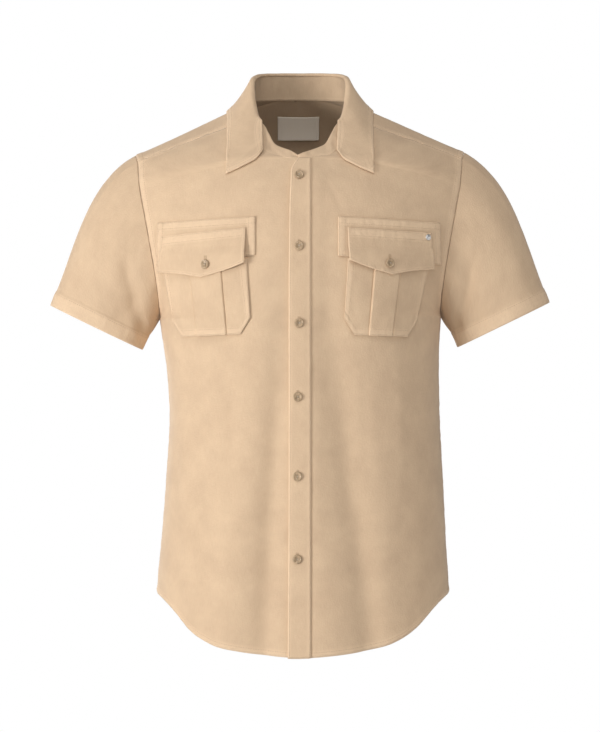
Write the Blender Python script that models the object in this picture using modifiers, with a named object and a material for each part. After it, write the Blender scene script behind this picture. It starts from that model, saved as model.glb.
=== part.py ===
"""Short-sleeved utility shirt in cotton twill, filled out on a general figure with no wearer.

Metres, +Z up, front towards -Y, the wearer's left side at +X. The origin lies on the middle
line, level with the high points of the shoulders. Sizes and tables are in millimetres, and a
half of the garment is described once, with x counted outwards from the middle line.
"""
import math

import bmesh
import bpy
import numpy as np
from mathutils import Vector
from mathutils.bvhtree import BVHTree

MM = 0.001
COLLECTION = "utility_shirt"

# Driving sizes
WALL = 1.2
GAP = 0.3
LAP = WALL + GAP + 0.3
RIGHT, LEFT = -1, 1
ARMPIT_Z = -280
NECK_CORNER_Z = -68
PLACKET_EDGE = 14
LAP_END = 40
HALF_COLUMNS = 15
BODY_ROUND = 2.4
SEAM_ROOM = 0.45
BACK_SEAM_Z = -80
BACK_NECK_Z = 21
NECK_ARM_SHARE = 0.80

# The wearer's left shoulder sits higher, and the lift fades over this much of x and z
SHOULDER_LIFT = 4
LIFT_X = (60, 210)
LIFT_Z = (-420, -290)

# Levels in a panel: hem to armpit, free edge to the neck, neckline, back, and over the yoke
LOW_ROWS = 11
EDGE_LEVELS = (ARMPIT_Z, -248, -214, -180, -148, -120, -98, -81, NECK_CORNER_Z)
EDGE_ROWS = len(EDGE_LEVELS) - 1
NECK_ROWS = 5
FRONT_ROWS = LOW_ROWS + EDGE_ROWS + NECK_ROWS
BACK_UPPER_ROWS = 7
BACK_ROWS = LOW_ROWS + BACK_UPPER_ROWS
YOKE_NECK_ROWS = 5
YOKE_ROWS = 8
PLACKET_SHARES = (0, 0.33, 0.66, 0.98)
SLEEVE_HEM_ROWS = 2
DENSE = 80


def table(columns, rows):
    """Named columns from rows of numbers."""
    return {name: np.array(values, float) for name, values in zip(columns.split(), zip(*rows))}


SIDES = table("z right left", (
    (-760, 196, 204),
    (-640, 192, 200),
    (-575, 186, 196),
    (-494, 180, 192),
    (-405, 175.5, 187.7),
    (-332, 181, 186.5),
    (-280, 189, 189),
))

FRONT_LINE = table("z y", (
    (-760, -135),
    (-640, -132),
    (-500, -130),
    (-380, -132),
    (-280, -135),
    (-200, -127),
    (-150, -118),
    (-100, -104),
    (-60, -79),
))

BACK_LINE = table("z y", (
    (-760, 133),
    (-640, 128),
    (-500, 118),
    (-400, 115),
    (-280, 128),
    (-150, 120),
    (-80, 108),
    (-20, 85),
    (21, 52),
))

# The shirttail hem: height by the share of the half width
HEM = table("across front back", (
    (0.00, -724.5, -738),
    (0.20, -721.5, -735),
    (0.40, -716.5, -727),
    (0.60, -707, -711),
    (0.75, -689, -690),
    (0.83, -673, -673),
    (0.90, -660, -660),
    (0.97, -650, -650),
    (1.00, -647, -647),
))

# The free edges, outwards from the middle line: the left one shows, the right one lies under it
FREE_EDGE = table("z left right", (
    (-760, -16, -12),
    (-386, -14.6, -12),
    (-270, -14.8, -12),
    (-185, -14.4, -12),
    (-100, -12.4, -12),
    (-82, -11, -8),
    (-70, -4, 1),
    (-62, 3, 4),
))

# Neckline of a front, from its free edge to the yoke seam
FRONT_NECK = table("x y z", (
    (22, -81.5, -65),
    (37, -77, -62),
    (48, -69, -54.5),
    (54, -58, -42),
    (60, -44, -27),
    (65.5, -26, -10),
))

YOKE_NECK = table("x y z", (
    (65.5, -26, -10),
    (67.5, -12, 1),
    (67.5, 6, 13.5),
    (63, 20, 17),
    (54, 32, 18.5),
    (30, 47, 20.5),
    (0, 52, 21),
))

FRONT_ARMHOLE = table("x y z", (
    (189, 0, -280),
    (188.5, -26, -266),
    (191, -44, -238),
    (198, -53, -192),
    (207, -50, -142),
    (214.5, -38, -102),
    (218, -16, -68),
))

YOKE_ARMHOLE = table("x y z", (
    (218, -16, -68),
    (221, -2, -60),
    (222, 8, -58),
    (219.5, 24, -69),
    (214, 40, -88),
))

BACK_ARMHOLE = table("x y z", (
    (189, 0, -280),
    (189, 27, -265),
    (192, 45, -234),
    (199, 54, -187),
    (207, 54, -140),
    (212, 48, -108),
    (214, 40, -88),
))

SLEEVE = {
    "outer": np.array((336, -4, -261.5)),
    "inner": np.array((213, -4, -321)),
    "half_depth": 45,
    "head_way": np.array((0.88, 0, -0.47)),
    "end_way": np.array((0.40, 0, -0.92)),
    "start_gap": 0.6,
    "hem": 20,
    "hem_step": 0.7,
    "rows": 7,
}

# Large folds: a line down the cloth, how wide its two slopes are, and how far it stands out or in
FOLDS = table("face x_top z_top x_bottom z_bottom left_width right_width depth", (
    (0, -42, -215, -140, -1050, 30, 30, 6.0),
    (0, -19, -215, -66, -1050, 15, 15, -5.0),
    (0, -10, -215, 69, -1050, 60, 30, 6.5),
    (0, -162, -340, -118, -1050, 14, 14, 2.0),
    (0, 28, -190, 139, -1050, 20, 20, -5.5),
    (0, 163, -350, 163, -1050, 14, 14, 1.5),
    (1, -58, -190, -72, -1050, 20, 20, -5.0),
    (1, 62, -210, 66, -1050, 22, 22, -5.0),
    (1, 2, -260, 6, -1050, 22, 22, 3.5),
    (1, -124, -300, -130, -1050, 20, 20, 3.0),
    (1, 126, -300, 124, -1050, 20, 20, 3.0),
    (2, -236, -190, -201, -330, 9, 9, -3.5),
    (2, 232, -200, 201, -330, 9, 9, -3.5),
))
FRONT_FACE, BACK_FACE, SLEEVE_FACE = 0, 1, 2
FOLD_FADE = 0.7

# The stand's upper edge and the leaf's outer edge, from the front end to the middle of the back
STAND_END_X = 1.3
STAND_LEVELS = (0, 0.5, 1)
RIM = table("x y z", (
    (1.3, -81, -63.6),
    (12.7, -77, -57.4),
    (24, -71, -53),
    (32.4, -65, -48.5),
    (41, -55, -34),
    (47.6, -45, -21.6),
    (54, -36, -14),
    (59, -26, 0),
    (62.5, -12, 20),
    (63, 5, 42),
    (58, 22, 49),
    (50, 36, 52),
    (30, 50, 54),
    (0, 56, 54.5),
))
LEAF = table("rim x y z", (
    (0.32, 49, -68, -57),
    (0.335, 57, -80, -68),
    (0.355, 70, -91, -76),
    (0.375, 84, -97, -83),
    (0.40, 98, -96, -89),
    (0.415, 98, -87, -75),
    (0.43, 98, -76, -60),
    (0.48, 98, -46, -32),
    (0.55, 98.5, -16, -10),
    (0.63, 97.5, 10, 0),
    (0.71, 90, 34, 3),
    (0.80, 70, 54, 4),
    (0.90, 36, 68, 4),
    (1.00, 0, 73, 4),
))
LEAF_REST = 3.5
LEAF_FALL = (0.0, 0.3, 0.6, 0.85, 1.0)
LEAF_BULGE = 1.5

# Chest pieces: outer corners in the front view, and how they lie
PATCHES = {
    RIGHT: {"x_in": (58.5, 58.5), "x_out": (188.5, 190.5), "top": (-147, -153), "bottom": (-198, -209)},
    LEFT: {"x_in": (50, 50), "x_out": (185.5, 187), "top": (-147, -153), "bottom": (-199, -208.5)},
}
FLAPS = {
    RIGHT: {"x_in": (71, 71), "x_out": (182.5, 185.5), "top": (-162, -171), "side": (-209, -218),
            "point": -226.5, "lift": 4.0},
    LEFT: {"x_in": (62, 63.5), "x_out": (172.5, 174.5), "top": (-162, -167), "side": (-205, -214),
           "point": -223, "lift": 2.0},
}
POCKETS = {
    RIGHT: {"x_in": (70, 64.5), "x_out": (182, 167), "top": (-201, -212), "bottom": (-301, -305),
            "pleat": (0.31, 0.66)},
    LEFT: {"x_in": (62.5, 58), "x_out": (169.5, 153), "top": (-202, -211), "bottom": (-302, -305),
           "pleat": (0.34, 0.64)},
}
POCKET_CHAMFER = {"across": 13, "up": 21}
PATCH_GRID = (5, 12)
POCKET_ROWS = 8
FLAP_GRID = (8, 11)
PLEAT_RISE = 1.6
PLEAT_SIDE = 0.03
LIE = 0.35
POCKET_LIE = 1.15

BUTTON = {"radius": 6.1, "height": 2.4, "dish": 4.0, "dish_depth": 0.7, "lie": 0.35}
BUTTON_PLACES = table("x z", (
    (-0.9, -92),
    (-1.0, -186),
    (-1.0, -287),
    (-2.5, -383),
    (-2.9, -487),
    (-3.4, -595),
))
FLAP_BUTTONS = {RIGHT: (-124, -209.5), LEFT: (117.5, -208)}
RIVET = {"x": 169.3, "z": -172.6, "radius": 4.0, "height": 1.8}
LABEL = {"left": -31, "right": 26.5, "top": 0, "bottom": -30, "thick": 0.6}

COLOURS = {
    "twill": (0.60, 0.43, 0.29, 1),
    "button": (0.42, 0.29, 0.18, 1),
    "metal": (0.62, 0.62, 0.62, 1),
    "label": (0.62, 0.56, 0.47, 1),
}


def smooth(xs, ys, at):
    """Read a column smoothly between the rows of its table."""
    slopes = np.gradient(ys, xs)
    at = np.clip(at, xs[0], xs[-1])
    row = np.clip(np.searchsorted(xs, at, side="right") - 1, 0, len(xs) - 2)
    step = xs[row + 1] - xs[row]
    t = (at - xs[row]) / step
    start = (1 + 2 * t) * (1 - t) ** 2 * ys[row] + t * (1 - t) ** 2 * step * slopes[row]
    end = t * t * (3 - 2 * t) * ys[row + 1] + t * t * (t - 1) * step * slopes[row + 1]
    return start + end


def ease(t):
    """A share that leaves 0 and reaches 1 with no corner."""
    t = np.clip(t, 0, 1)
    return t * t * (3 - 2 * t)


def along(path, share):
    """Points on the smooth line through a table's x, y, z rows, by their share of its length."""
    rows = np.stack([path["x"], path["y"], path["z"]], axis=1)
    length = np.concatenate(([0], np.cumsum(np.linalg.norm(np.diff(rows, axis=0), axis=1))))
    at = np.asarray(share, float) * length[-1]
    return np.stack([smooth(length, rows[:, axis], at) for axis in range(3)], axis=-1)


def lengths(points):
    """Distance along a line of points."""
    return np.concatenate(([0], np.cumsum(np.linalg.norm(np.diff(points, axis=0), axis=1))))


def pick(points, places):
    """Points at given distances along a line of points."""
    run = lengths(points)
    return np.stack([np.interp(places, run, points[:, axis]) for axis in range(3)], axis=1)


def quarter(roundness, turn):
    """A quarter of a rounded section, cut after a share of its turn: across and fore shares."""
    angle = np.linspace(0, turn, DENSE) * math.pi / 2
    across = np.sin(angle) ** (2 / roundness)
    fore = np.cos(angle) ** (2 / roundness)
    return across / across[-1], (fore - fore[-1]) / (1 - fore[-1])


def fold_height(face, x, z):
    """How far the large folds move the cloth out at a place."""
    total = np.zeros_like(x)
    for row in np.flatnonzero(FOLDS["face"] == face):
        fold = {name: values[row] for name, values in FOLDS.items()}
        down = (fold["z_top"] - z) / (fold["z_top"] - fold["z_bottom"])
        line = fold["x_top"] + (fold["x_bottom"] - fold["x_top"]) * down
        length = np.sin(math.pi * np.clip(down, 0, 1)) ** FOLD_FADE
        width = np.where(x < line, fold["left_width"], fold["right_width"])
        total += fold["depth"] * length * np.exp(-((x - line) / width) ** 2)
    return total


def raised(row, side, face, extra):
    """A half row with its folds, moved out level, across its own direction."""
    way = np.gradient(row[:, :2], axis=0)
    way /= np.maximum(np.linalg.norm(way, axis=1), 1e-9)[:, None]
    out = np.stack([way[:, 1], -way[:, 0]], axis=1)
    if face == BACK_FACE:
        out = -out
    fade = 1 - np.clip(lengths(row) / lengths(row)[-1], 0, 1) ** 8
    height = fold_height(face, side * row[:, 0], row[:, 2]) * fade + extra
    moved = row.copy()
    moved[:, :2] += out * height[:, None]
    return moved


def lower_row(side, share, face):
    """A half row between the hem and the armpit, from the middle line to the side seam."""
    across, fore = quarter(BODY_ROUND, 1)
    name = "back" if face == BACK_FACE else "front"
    hem = smooth(HEM["across"], HEM[name], across)
    z = hem + (ARMPIT_Z - hem) * share
    half = smooth(SIDES["z"], SIDES["left" if side == LEFT else "right"], z)
    line = BACK_LINE if face == BACK_FACE else FRONT_LINE
    return np.stack([half * across, smooth(line["z"], line["y"], z) * fore, z], axis=1)


def upper_row(start, end, level, crown=1.0):
    """A half row above the armpit, from the middle or the neckline to the armhole."""
    turn = 0.6 + 0.4 * math.exp(-level / 2.5)
    roundness = 2.0 + 0.4 * math.exp(-level / 4)
    across, fore = quarter(roundness, turn)
    x = start[0] + (end[0] - start[0]) * across
    y = end[1] + (start[1] - end[1]) * fore
    z = start[2] + (end[2] - start[2]) * across ** crown
    return np.stack([x, y, z], axis=1)


def front_edge_x(side, z):
    """The front's free edge, outwards from the middle line."""
    return smooth(FREE_EDGE["z"], FREE_EDGE[side_name(side)], z)


def front_y(z):
    """The front's middle line, seen from the side."""
    return smooth(FRONT_LINE["z"], FRONT_LINE["y"], z)


def front_line(side, k):
    """A front's level k as a dense half row, with the lap at the closing and the folds."""
    j = max(k - LOW_ROWS, 0)
    if k <= LOW_ROWS:
        row = lower_row(side, k / LOW_ROWS, FRONT_FACE)
        start = np.array((front_edge_x(side, row[0, 2]), row[0, 1], row[0, 2]))
    else:
        if j <= EDGE_ROWS:
            z = np.interp(j, range(EDGE_ROWS + 1), EDGE_LEVELS)
            start = np.array((front_edge_x(side, z), front_y(z), z))
            arm = NECK_ARM_SHARE * j / EDGE_ROWS
            crown = 2
        else:
            up_neck = (j - EDGE_ROWS) / NECK_ROWS
            start = neck_point(side, up_neck)
            arm = NECK_ARM_SHARE + (1 - NECK_ARM_SHARE) * up_neck
            crown = 2 - up_neck
        middle = start.copy()
        middle[0] = max(start[0], 0)
        row = upper_row(middle, along(FRONT_ARMHOLE, arm), j, crown)
    if start[0] < 0:
        lap = np.linspace(0, 1, 6)[:-1, None]
        row = np.concatenate([start + (row[0] - start) * lap, row])
    extra = np.zeros(len(row))
    if side == LEFT:
        slope = (front_y(start[2] + 1) - front_y(start[2] - 1)) / 2
        lap = LAP * math.sqrt(1 + slope ** 2)
        extra = lap * (1 - ease((row[:, 0] - PLACKET_EDGE) / (LAP_END - PLACKET_EDGE)))
    return raised(row, side, FRONT_FACE, extra)


def neck_point(side, share):
    """A point of the front's neckline, from its free edge to the yoke seam."""
    z = NECK_CORNER_Z
    corner = (front_edge_x(side, z), front_y(z), z)
    path = {name: np.concatenate(([value], FRONT_NECK[name])) for name, value in zip("xyz", corner)}
    return along(path, share)


def front_places(side, k, columns):
    """Where the columns cut a front's level: lap, placket edge and lap end keep their own."""
    corner = LOW_ROWS + EDGE_ROWS
    line = front_line(side, min(k, corner))
    run = lengths(line)
    marks = [np.interp(mark, line[:, 0], run) for mark in (PLACKET_EDGE, LAP_END)]
    rest = np.linspace(marks[1], run[-1], columns - 2)
    places = np.concatenate(([0, marks[0]], rest))
    return places / run[-1]


def front_grid(side, levels, columns):
    """Points of a front, level by level."""
    grid = []
    for k in levels:
        line = front_line(side, k)
        grid.append(pick(line, front_places(side, k, columns) * lengths(line)[-1]))
    return np.array(grid)


def back_line(side, k):
    """The back's level k as a dense half row."""
    j = max(k - LOW_ROWS, 0)
    if k <= LOW_ROWS:
        row = lower_row(side, k / LOW_ROWS, BACK_FACE)
    else:
        share = j / BACK_UPPER_ROWS
        z = ARMPIT_Z + (BACK_SEAM_Z - ARMPIT_Z) * share
        start = np.array((0, smooth(BACK_LINE["z"], BACK_LINE["y"], z), z))
        row = upper_row(start, along(BACK_ARMHOLE, share), j)
    return raised(row, side, BACK_FACE, np.zeros(len(row)))


def back_half(side, levels, columns):
    """Points of one half of the back."""
    places = np.linspace(0, 1, columns + 1)
    lines = [back_line(side, k) for k in levels]
    return np.array([pick(line, places * lengths(line)[-1]) for line in lines])


def yoke_start(i):
    """Where the yoke's level i starts: on the neckline, then on the middle line of the back."""
    if i <= YOKE_NECK_ROWS:
        return along(YOKE_NECK, i / YOKE_NECK_ROWS)
    down = (i - YOKE_NECK_ROWS) / (YOKE_ROWS - YOKE_NECK_ROWS)
    z = BACK_NECK_Z + (BACK_SEAM_Z - BACK_NECK_Z) * down
    return np.array((0, smooth(BACK_LINE["z"], BACK_LINE["y"], z), z))


def yoke_half(side, levels, columns):
    """Points of one half of the yoke, from the front seam over the shoulder to the back seam."""
    front = front_places(side, FRONT_ROWS, columns + 1)
    back = np.linspace(0, 1, columns + 1)
    grid = []
    for i in levels:
        share = i / YOKE_ROWS
        level = np.interp(share, (0, 1), (EDGE_ROWS + NECK_ROWS, BACK_UPPER_ROWS))
        crown = 1 + 0.55 * math.sin(math.pi * float(np.clip((share - 0.4) / 0.6, 0, 1)))
        line = upper_row(yoke_start(i), along(YOKE_ARMHOLE, share), level, crown)
        places = front + (back - front) * share
        grid.append(pick(line, places * lengths(line)[-1]))
    return np.array(grid)


def armhole_ring():
    """The armhole seam, from the armpit up the front, over the shoulder and down the back."""
    front = [NECK_ARM_SHARE * j / EDGE_ROWS for j in range(EDGE_ROWS)]
    front += [NECK_ARM_SHARE + (1 - NECK_ARM_SHARE) * j / NECK_ROWS for j in range(NECK_ROWS + 1)]
    over = [i / YOKE_ROWS for i in range(1, YOKE_ROWS + 1)]
    back = [j / BACK_UPPER_ROWS for j in range(BACK_UPPER_ROWS - 1, 0, -1)]
    return np.concatenate([along(FRONT_ARMHOLE, front), along(YOKE_ARMHOLE, over),
                           along(BACK_ARMHOLE, back)])


def sleeve_grid(side, ring, hem_rows):
    """Points of a sleeve, ring after ring from the armhole to the turned hem."""
    loop = np.concatenate([ring, ring[:1]])
    turn = lengths(loop)[:-1] / lengths(loop)[-1]
    top = lengths(loop)[np.argmax(ring[:, 2])] / lengths(loop)[-1]
    angle = math.pi * np.interp(turn, (0, top, 1), (0, 1, 2))
    centre = (SLEEVE["outer"] + SLEEVE["inner"]) / 2
    reach = (SLEEVE["outer"] - SLEEVE["inner"]) / 2
    cuff = centre - np.cos(angle)[:, None] * reach
    cuff[:, 1] -= np.sin(angle) * SLEEVE["half_depth"]
    chord = cuff - ring
    length = np.linalg.norm(chord, axis=1)
    straight = chord / length[:, None]
    upper = ease((1 - np.cos(angle)) / 2)[:, None]
    start_way = straight * (1 - upper) + SLEEVE["head_way"] * upper
    end_way = straight * (1 - upper) + SLEEVE["end_way"] * upper
    begin = ring + straight * SLEEVE["start_gap"]
    hem_share = 1 - SLEEVE["hem"] / length
    rings = []
    shares = [row / SLEEVE["rows"] * hem_share for row in range(SLEEVE["rows"] + 1)]
    rises = [0.0] * len(shares)
    for row in range(hem_rows + 1):
        inside = 0.04 + 0.96 * row / hem_rows
        shares.append(hem_share + (1 - hem_share) * inside)
        rises.append(SLEEVE["hem_step"])
    for share, rise in zip(shares, rises):
        t = np.asarray(share)[:, None]
        handle = length[:, None] / 3
        points = (begin * (1 - t) ** 3 + 3 * (begin + start_way * handle) * t * (1 - t) ** 2
                  + 3 * (cuff - end_way * handle) * t * t * (1 - t) + cuff * t ** 3)
        middle = points.mean(axis=0)
        out = points - middle
        out /= np.linalg.norm(out, axis=1)[:, None]
        dent = fold_height(SLEEVE_FACE, side * points[:, 0], points[:, 2])
        rings.append(points + out * (dent * ease(t[:, 0] * 4) + rise)[:, None])
    return np.array(rings)


def trimmed(grid, edges):
    """A grid whose named edges are drawn in by half the gap between pieces."""
    result = grid.copy()
    ways = {"first_row": (0, 1), "last_row": (-1, -2)}
    for name, (edge, beside) in ways.items():
        if name in edges:
            way = grid[beside] - grid[edge]
            room = GAP / 2 + SEAM_ROOM * np.abs(grid[edge, :, 0] / grid[edge, -1, 0]) ** 2
            result[edge] += way / np.linalg.norm(way, axis=1)[:, None] * room[:, None]
    ways = {"first_column": (0, 1), "last_column": (-1, -2)}
    for name, (edge, beside) in ways.items():
        if name in edges:
            way = grid[:, beside] - grid[:, edge]
            result[:, edge] += way / np.linalg.norm(way, axis=1)[:, None] * GAP / 2
    return result


def shoulder_lift(points):
    """How much higher each point sits because of the wearer's left shoulder."""
    across = (points[..., 0] - LIFT_X[0]) / (LIFT_X[1] - LIFT_X[0])
    up = (points[..., 2] - LIFT_Z[0]) / (LIFT_Z[1] - LIFT_Z[0])
    return SHOULDER_LIFT * ease(across) * ease(up)


def placed(points):
    """Points in metres, with the wearer's left shoulder a little higher than the right."""
    points = np.array(points, float)
    points[..., 2] += shoulder_lift(points)
    return points * MM


def fill_grid(mesh, points, closed=False):
    """Add a grid of faces through rows of points, joined round at the columns when closed."""
    rows, columns = points.shape[:2]
    made = bmesh.ops.create_grid(mesh, x_segments=columns - 1, y_segments=rows - 1, size=1)["verts"]
    last = {}
    for vert in made:
        column = round((vert.co.x + 1) / 2 * (columns - 1))
        row = round((vert.co.y + 1) / 2 * (rows - 1))
        last[row, column] = vert
    for (row, column), vert in last.items():
        vert.co = Vector(points[row, column])
    if closed:
        for row in range(rows - 1):
            mesh.faces.new((last[row, columns - 1], last[row, 0], last[row + 1, 0],
                            last[row + 1, columns - 1]))


def base_mesh(grids, inside, closed=False):
    """An open surface through grids of points, welded where they meet, facing away from inside."""
    mesh = bmesh.new()
    for grid in grids:
        fill_grid(mesh, placed(grid), closed)
    bmesh.ops.remove_doubles(mesh, verts=mesh.verts, dist=0.00001)
    bmesh.ops.recalc_face_normals(mesh, faces=mesh.faces)
    inside = Vector(inside) * MM
    facing = sum((f.calc_center_median() - inside).dot(f.normal) * f.calc_area() for f in mesh.faces)
    if facing < 0:
        bmesh.ops.reverse_faces(mesh, faces=mesh.faces)
    return mesh


def material(name):
    """The piece's own plain material in its photographed colour."""
    kind = bpy.data.materials.new(name)
    kind.use_nodes = True
    shader = kind.node_tree.nodes["Principled BSDF"]
    shader.inputs["Base Color"].default_value = COLOURS[name.split("-")[0]]
    shader.inputs["Roughness"].default_value = 0.35 if name.startswith(("button", "metal")) else 0.9
    shader.inputs["Metallic"].default_value = 1.0 if name.startswith("metal") else 0.0
    return kind


def add_piece(name, mesh, finish, wall=0.0, outward=False):
    """An object from a surface, given its wall when it is cloth."""
    data = bpy.data.meshes.new(name)
    mesh.to_mesh(data)
    mesh.free()
    data.shade_smooth()
    data.materials.append(material(finish + "-" + name))
    piece = bpy.data.objects.new(name, data)
    parts.objects.link(piece)
    if wall:
        solid = piece.modifiers.new("wall", "SOLIDIFY")
        solid.thickness = wall * MM
        solid.offset = 1 if outward else -1
        solid.use_even_offset = False
    return piece


def look_up(grids):
    """A surface that can be asked where a line meets it."""
    mesh = base_mesh(grids, (0, 0, -300))
    tree = BVHTree.FromBMesh(mesh)
    mesh.free()
    return tree


def seat(trees, x, z):
    """The outermost cloth at a place in the front view, and the way it faces."""
    hits = [tree.ray_cast(Vector((x, -400, z)) * MM, Vector((0, 1, 0))) for tree in trees]
    hits = [hit for hit in hits if hit[0] is not None]
    nearest = min(hits, key=lambda hit: hit[0].y)
    return np.array(nearest[0]) / MM, np.array(nearest[1])


def on_front(x, z, out):
    """A point of the fronts in the front view, moved out from the cloth."""
    place, normal = seat(fronts, x, z)
    return place + normal * out


def on_front_grid(xs, zs, outs):
    """A grid of such points, in the shirt's own millimetres."""
    return np.array([[on_front(x, z, out) for x, z, out in zip(*row)] for row in zip(xs, zs, outs)])


def unlifted(points):
    """Undo the shoulder's lift on points that were read from the placed surface."""
    points = np.array(points, float)
    points[..., 2] -= shoulder_lift(points)
    return points


def clear_of(trees, point, room):
    """A point moved out until it is clear of the surfaces below it."""
    place = Vector(placed(point))
    for tree in trees:
        hit, normal, _, _ = tree.find_nearest(place)
        short = room * MM - (place - hit).dot(normal)
        if short > 0:
            place = place + normal * short
    return unlifted(np.array(place) / MM)


def side_name(side):
    return "right" if side == RIGHT else "left"


def mirrored(grid, side):
    """A half's points on its own side of the garment."""
    return grid * np.array((side, 1, 1))


def make_panels():
    """The two fronts, the back and the yoke."""
    for side in (RIGHT, LEFT):
        grid = mirrored(front_grid(side, range(FRONT_ROWS + 1), HALF_COLUMNS + 1), side)
        grid = trimmed(grid, ("last_row", "last_column"))
        add_piece("front_" + side_name(side), base_mesh([grid], (0, 0, -400)), "twill", WALL)
    halves = [mirrored(back_half(s, range(BACK_ROWS + 1), HALF_COLUMNS), s) for s in (RIGHT, LEFT)]
    back = np.concatenate([halves[0][:, :0:-1], halves[1]], axis=1)
    back = trimmed(back, ("last_row", "first_column", "last_column"))
    add_piece("back", base_mesh([back], (0, 0, -400)), "twill", WALL)
    halves = [mirrored(yoke_half(s, range(YOKE_ROWS + 1), HALF_COLUMNS), s) for s in (RIGHT, LEFT)]
    halves = [trimmed(half, ("first_row", "last_row", "last_column")) for half in halves]
    add_piece("yoke", base_mesh(halves, (0, 0, -200)), "twill", WALL)


def make_placket():
    """The folded strip down the left front, made from that front's own levels."""
    levels = range(LOW_ROWS + EDGE_ROWS + 1)
    panel = front_grid(LEFT, levels, HALF_COLUMNS + 1)
    edge, sewn = panel[:, 0], panel[:, 1]
    grid = np.stack([edge + (sewn - edge) * share for share in PLACKET_SHARES], axis=1)
    grid[:, :, 1] -= GAP * 1.2
    add_piece("placket", base_mesh([grid], (0, 0, -400)), "twill", WALL, outward=True)


def make_sleeves():
    """Two short sleeves with a turned hem."""
    for side in (RIGHT, LEFT):
        grid = mirrored(sleeve_grid(side, armhole_ring(), SLEEVE_HEM_ROWS), side)
        middle = grid.mean(axis=(0, 1))
        mesh = base_mesh([grid], middle, closed=True)
        add_piece("sleeve_" + side_name(side), mesh, "twill", WALL)


def stand_seam(side):
    """The neck seam of one half, from the front end to the middle of the back."""
    shares = [j / NECK_ROWS for j in range(NECK_ROWS + 1)]
    front = np.array([neck_point(side, share) for share in shares])
    start = np.interp(STAND_END_X, front[:, 0], range(len(front)))
    end = np.stack([np.interp(start, range(len(front)), front[:, axis]) for axis in range(3)])
    over = along(YOKE_NECK, [i / YOKE_NECK_ROWS for i in range(1, YOKE_NECK_ROWS + 1)])
    return np.concatenate([end[None], front[math.floor(start) + 1:], over])


def collar_shares(side):
    """Where the collar's points lie along one half: those of the neck seam and of the leaf."""
    run = lengths(stand_seam(side))
    return np.union1d(np.round(run / run[-1], 3), LEAF["rim"])


def make_stand():
    """The collar stand: a band that rises from the neck seam to its upper edge."""
    halves = []
    for side in (RIGHT, LEFT):
        line = stand_seam(side)
        shares = collar_shares(side)
        seam = pick(line, shares * lengths(line)[-1])
        rim = along(RIM, shares)
        levels = []
        for share in STAND_LEVELS:
            row = seam + (rim - seam) * share
            row[:, 2] += SEAM_ROOM * (1 - share)
            levels.append(mirrored(row, side))
        halves.append(np.array(levels))
    grid = np.concatenate([halves[0], halves[1][:, -2::-1]], axis=1)
    mesh = base_mesh([grid], (0, 0, 0))
    tree = BVHTree.FromBMesh(mesh)
    add_piece("collar_stand", mesh, "twill", WALL)
    return tree


def make_leaf(stand):
    """The collar leaf: it rolls over the stand's upper edge and falls onto the shoulders."""
    halves = []
    for side in (RIGHT, LEFT):
        shares = collar_shares(side)
        shares = shares[shares >= LEAF["rim"][0]]
        fold = along(RIM, shares)
        edge = np.stack([np.interp(shares, LEAF["rim"], LEAF[axis]) for axis in "xyz"], axis=1)
        way = (edge - fold) * np.array((1, 1, 0))
        way /= np.linalg.norm(way, axis=1)[:, None]
        rows = [fold + (0, 0, 0.6), fold + way * 2.4 + (0, 0, 2.0)]
        rolled = fold + way * 5.5 + (0, 0, 0.3)
        for share in LEAF_FALL:
            row = rolled + (edge - rolled) * share
            row = row + (way * 0.7 + (0, 0, 0.7)) * LEAF_BULGE * math.sin(math.pi * share)
            rows.append(row)
        grid = mirrored(np.array(rows), side)
        for level in range(2, len(grid)):
            rest = level == len(grid) - 1
            for column in range(grid.shape[1]):
                point = grid[level, column]
                if rest:
                    hit, normal, _, _ = body[0].find_nearest(Vector(placed(point)))
                    point = unlifted(np.array(hit + normal * LEAF_REST * MM) / MM)
                grid[level, column] = clear_of([stand] + body, point, LEAF_REST - 0.2)
        halves.append(grid)
    grid = np.concatenate([halves[0], halves[1][:, -2::-1]], axis=1)
    add_piece("collar_leaf", base_mesh([grid], (0, 0, -20)), "twill", WALL, outward=True)


def across_rows(spec, side, top, bottom, columns, rows):
    """x and z of a four-cornered piece, row by row, from its inner to its outer edge."""
    down = np.linspace(0, 1, rows)[:, None]
    over = np.asarray(columns)[None, :]
    inner = spec["x_in"][0] + (spec["x_in"][1] - spec["x_in"][0]) * down
    outer = spec["x_out"][0] + (spec["x_out"][1] - spec["x_out"][0]) * down
    x = inner + (outer - inner) * over
    upper = top[0] + (top[1] - top[0]) * over
    z = upper + (bottom - upper) * down
    return side * x, z


def make_patches():
    """The flat patches behind the flaps."""
    for side, spec in PATCHES.items():
        columns = 1 - (1 - np.linspace(0, 1, PATCH_GRID[1])) ** 1.5
        bottom = spec["bottom"][0] + (spec["bottom"][1] - spec["bottom"][0]) * columns
        x, z = across_rows(spec, side, spec["top"], bottom[None, :], columns, PATCH_GRID[0])
        grid = unlifted(on_front_grid(x, z, np.full(x.shape, LIE)))
        name = "patch_" + side_name(side)
        add_piece(name, base_mesh([grid], (0, 0, -180)), "twill", WALL, outward=True)


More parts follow.
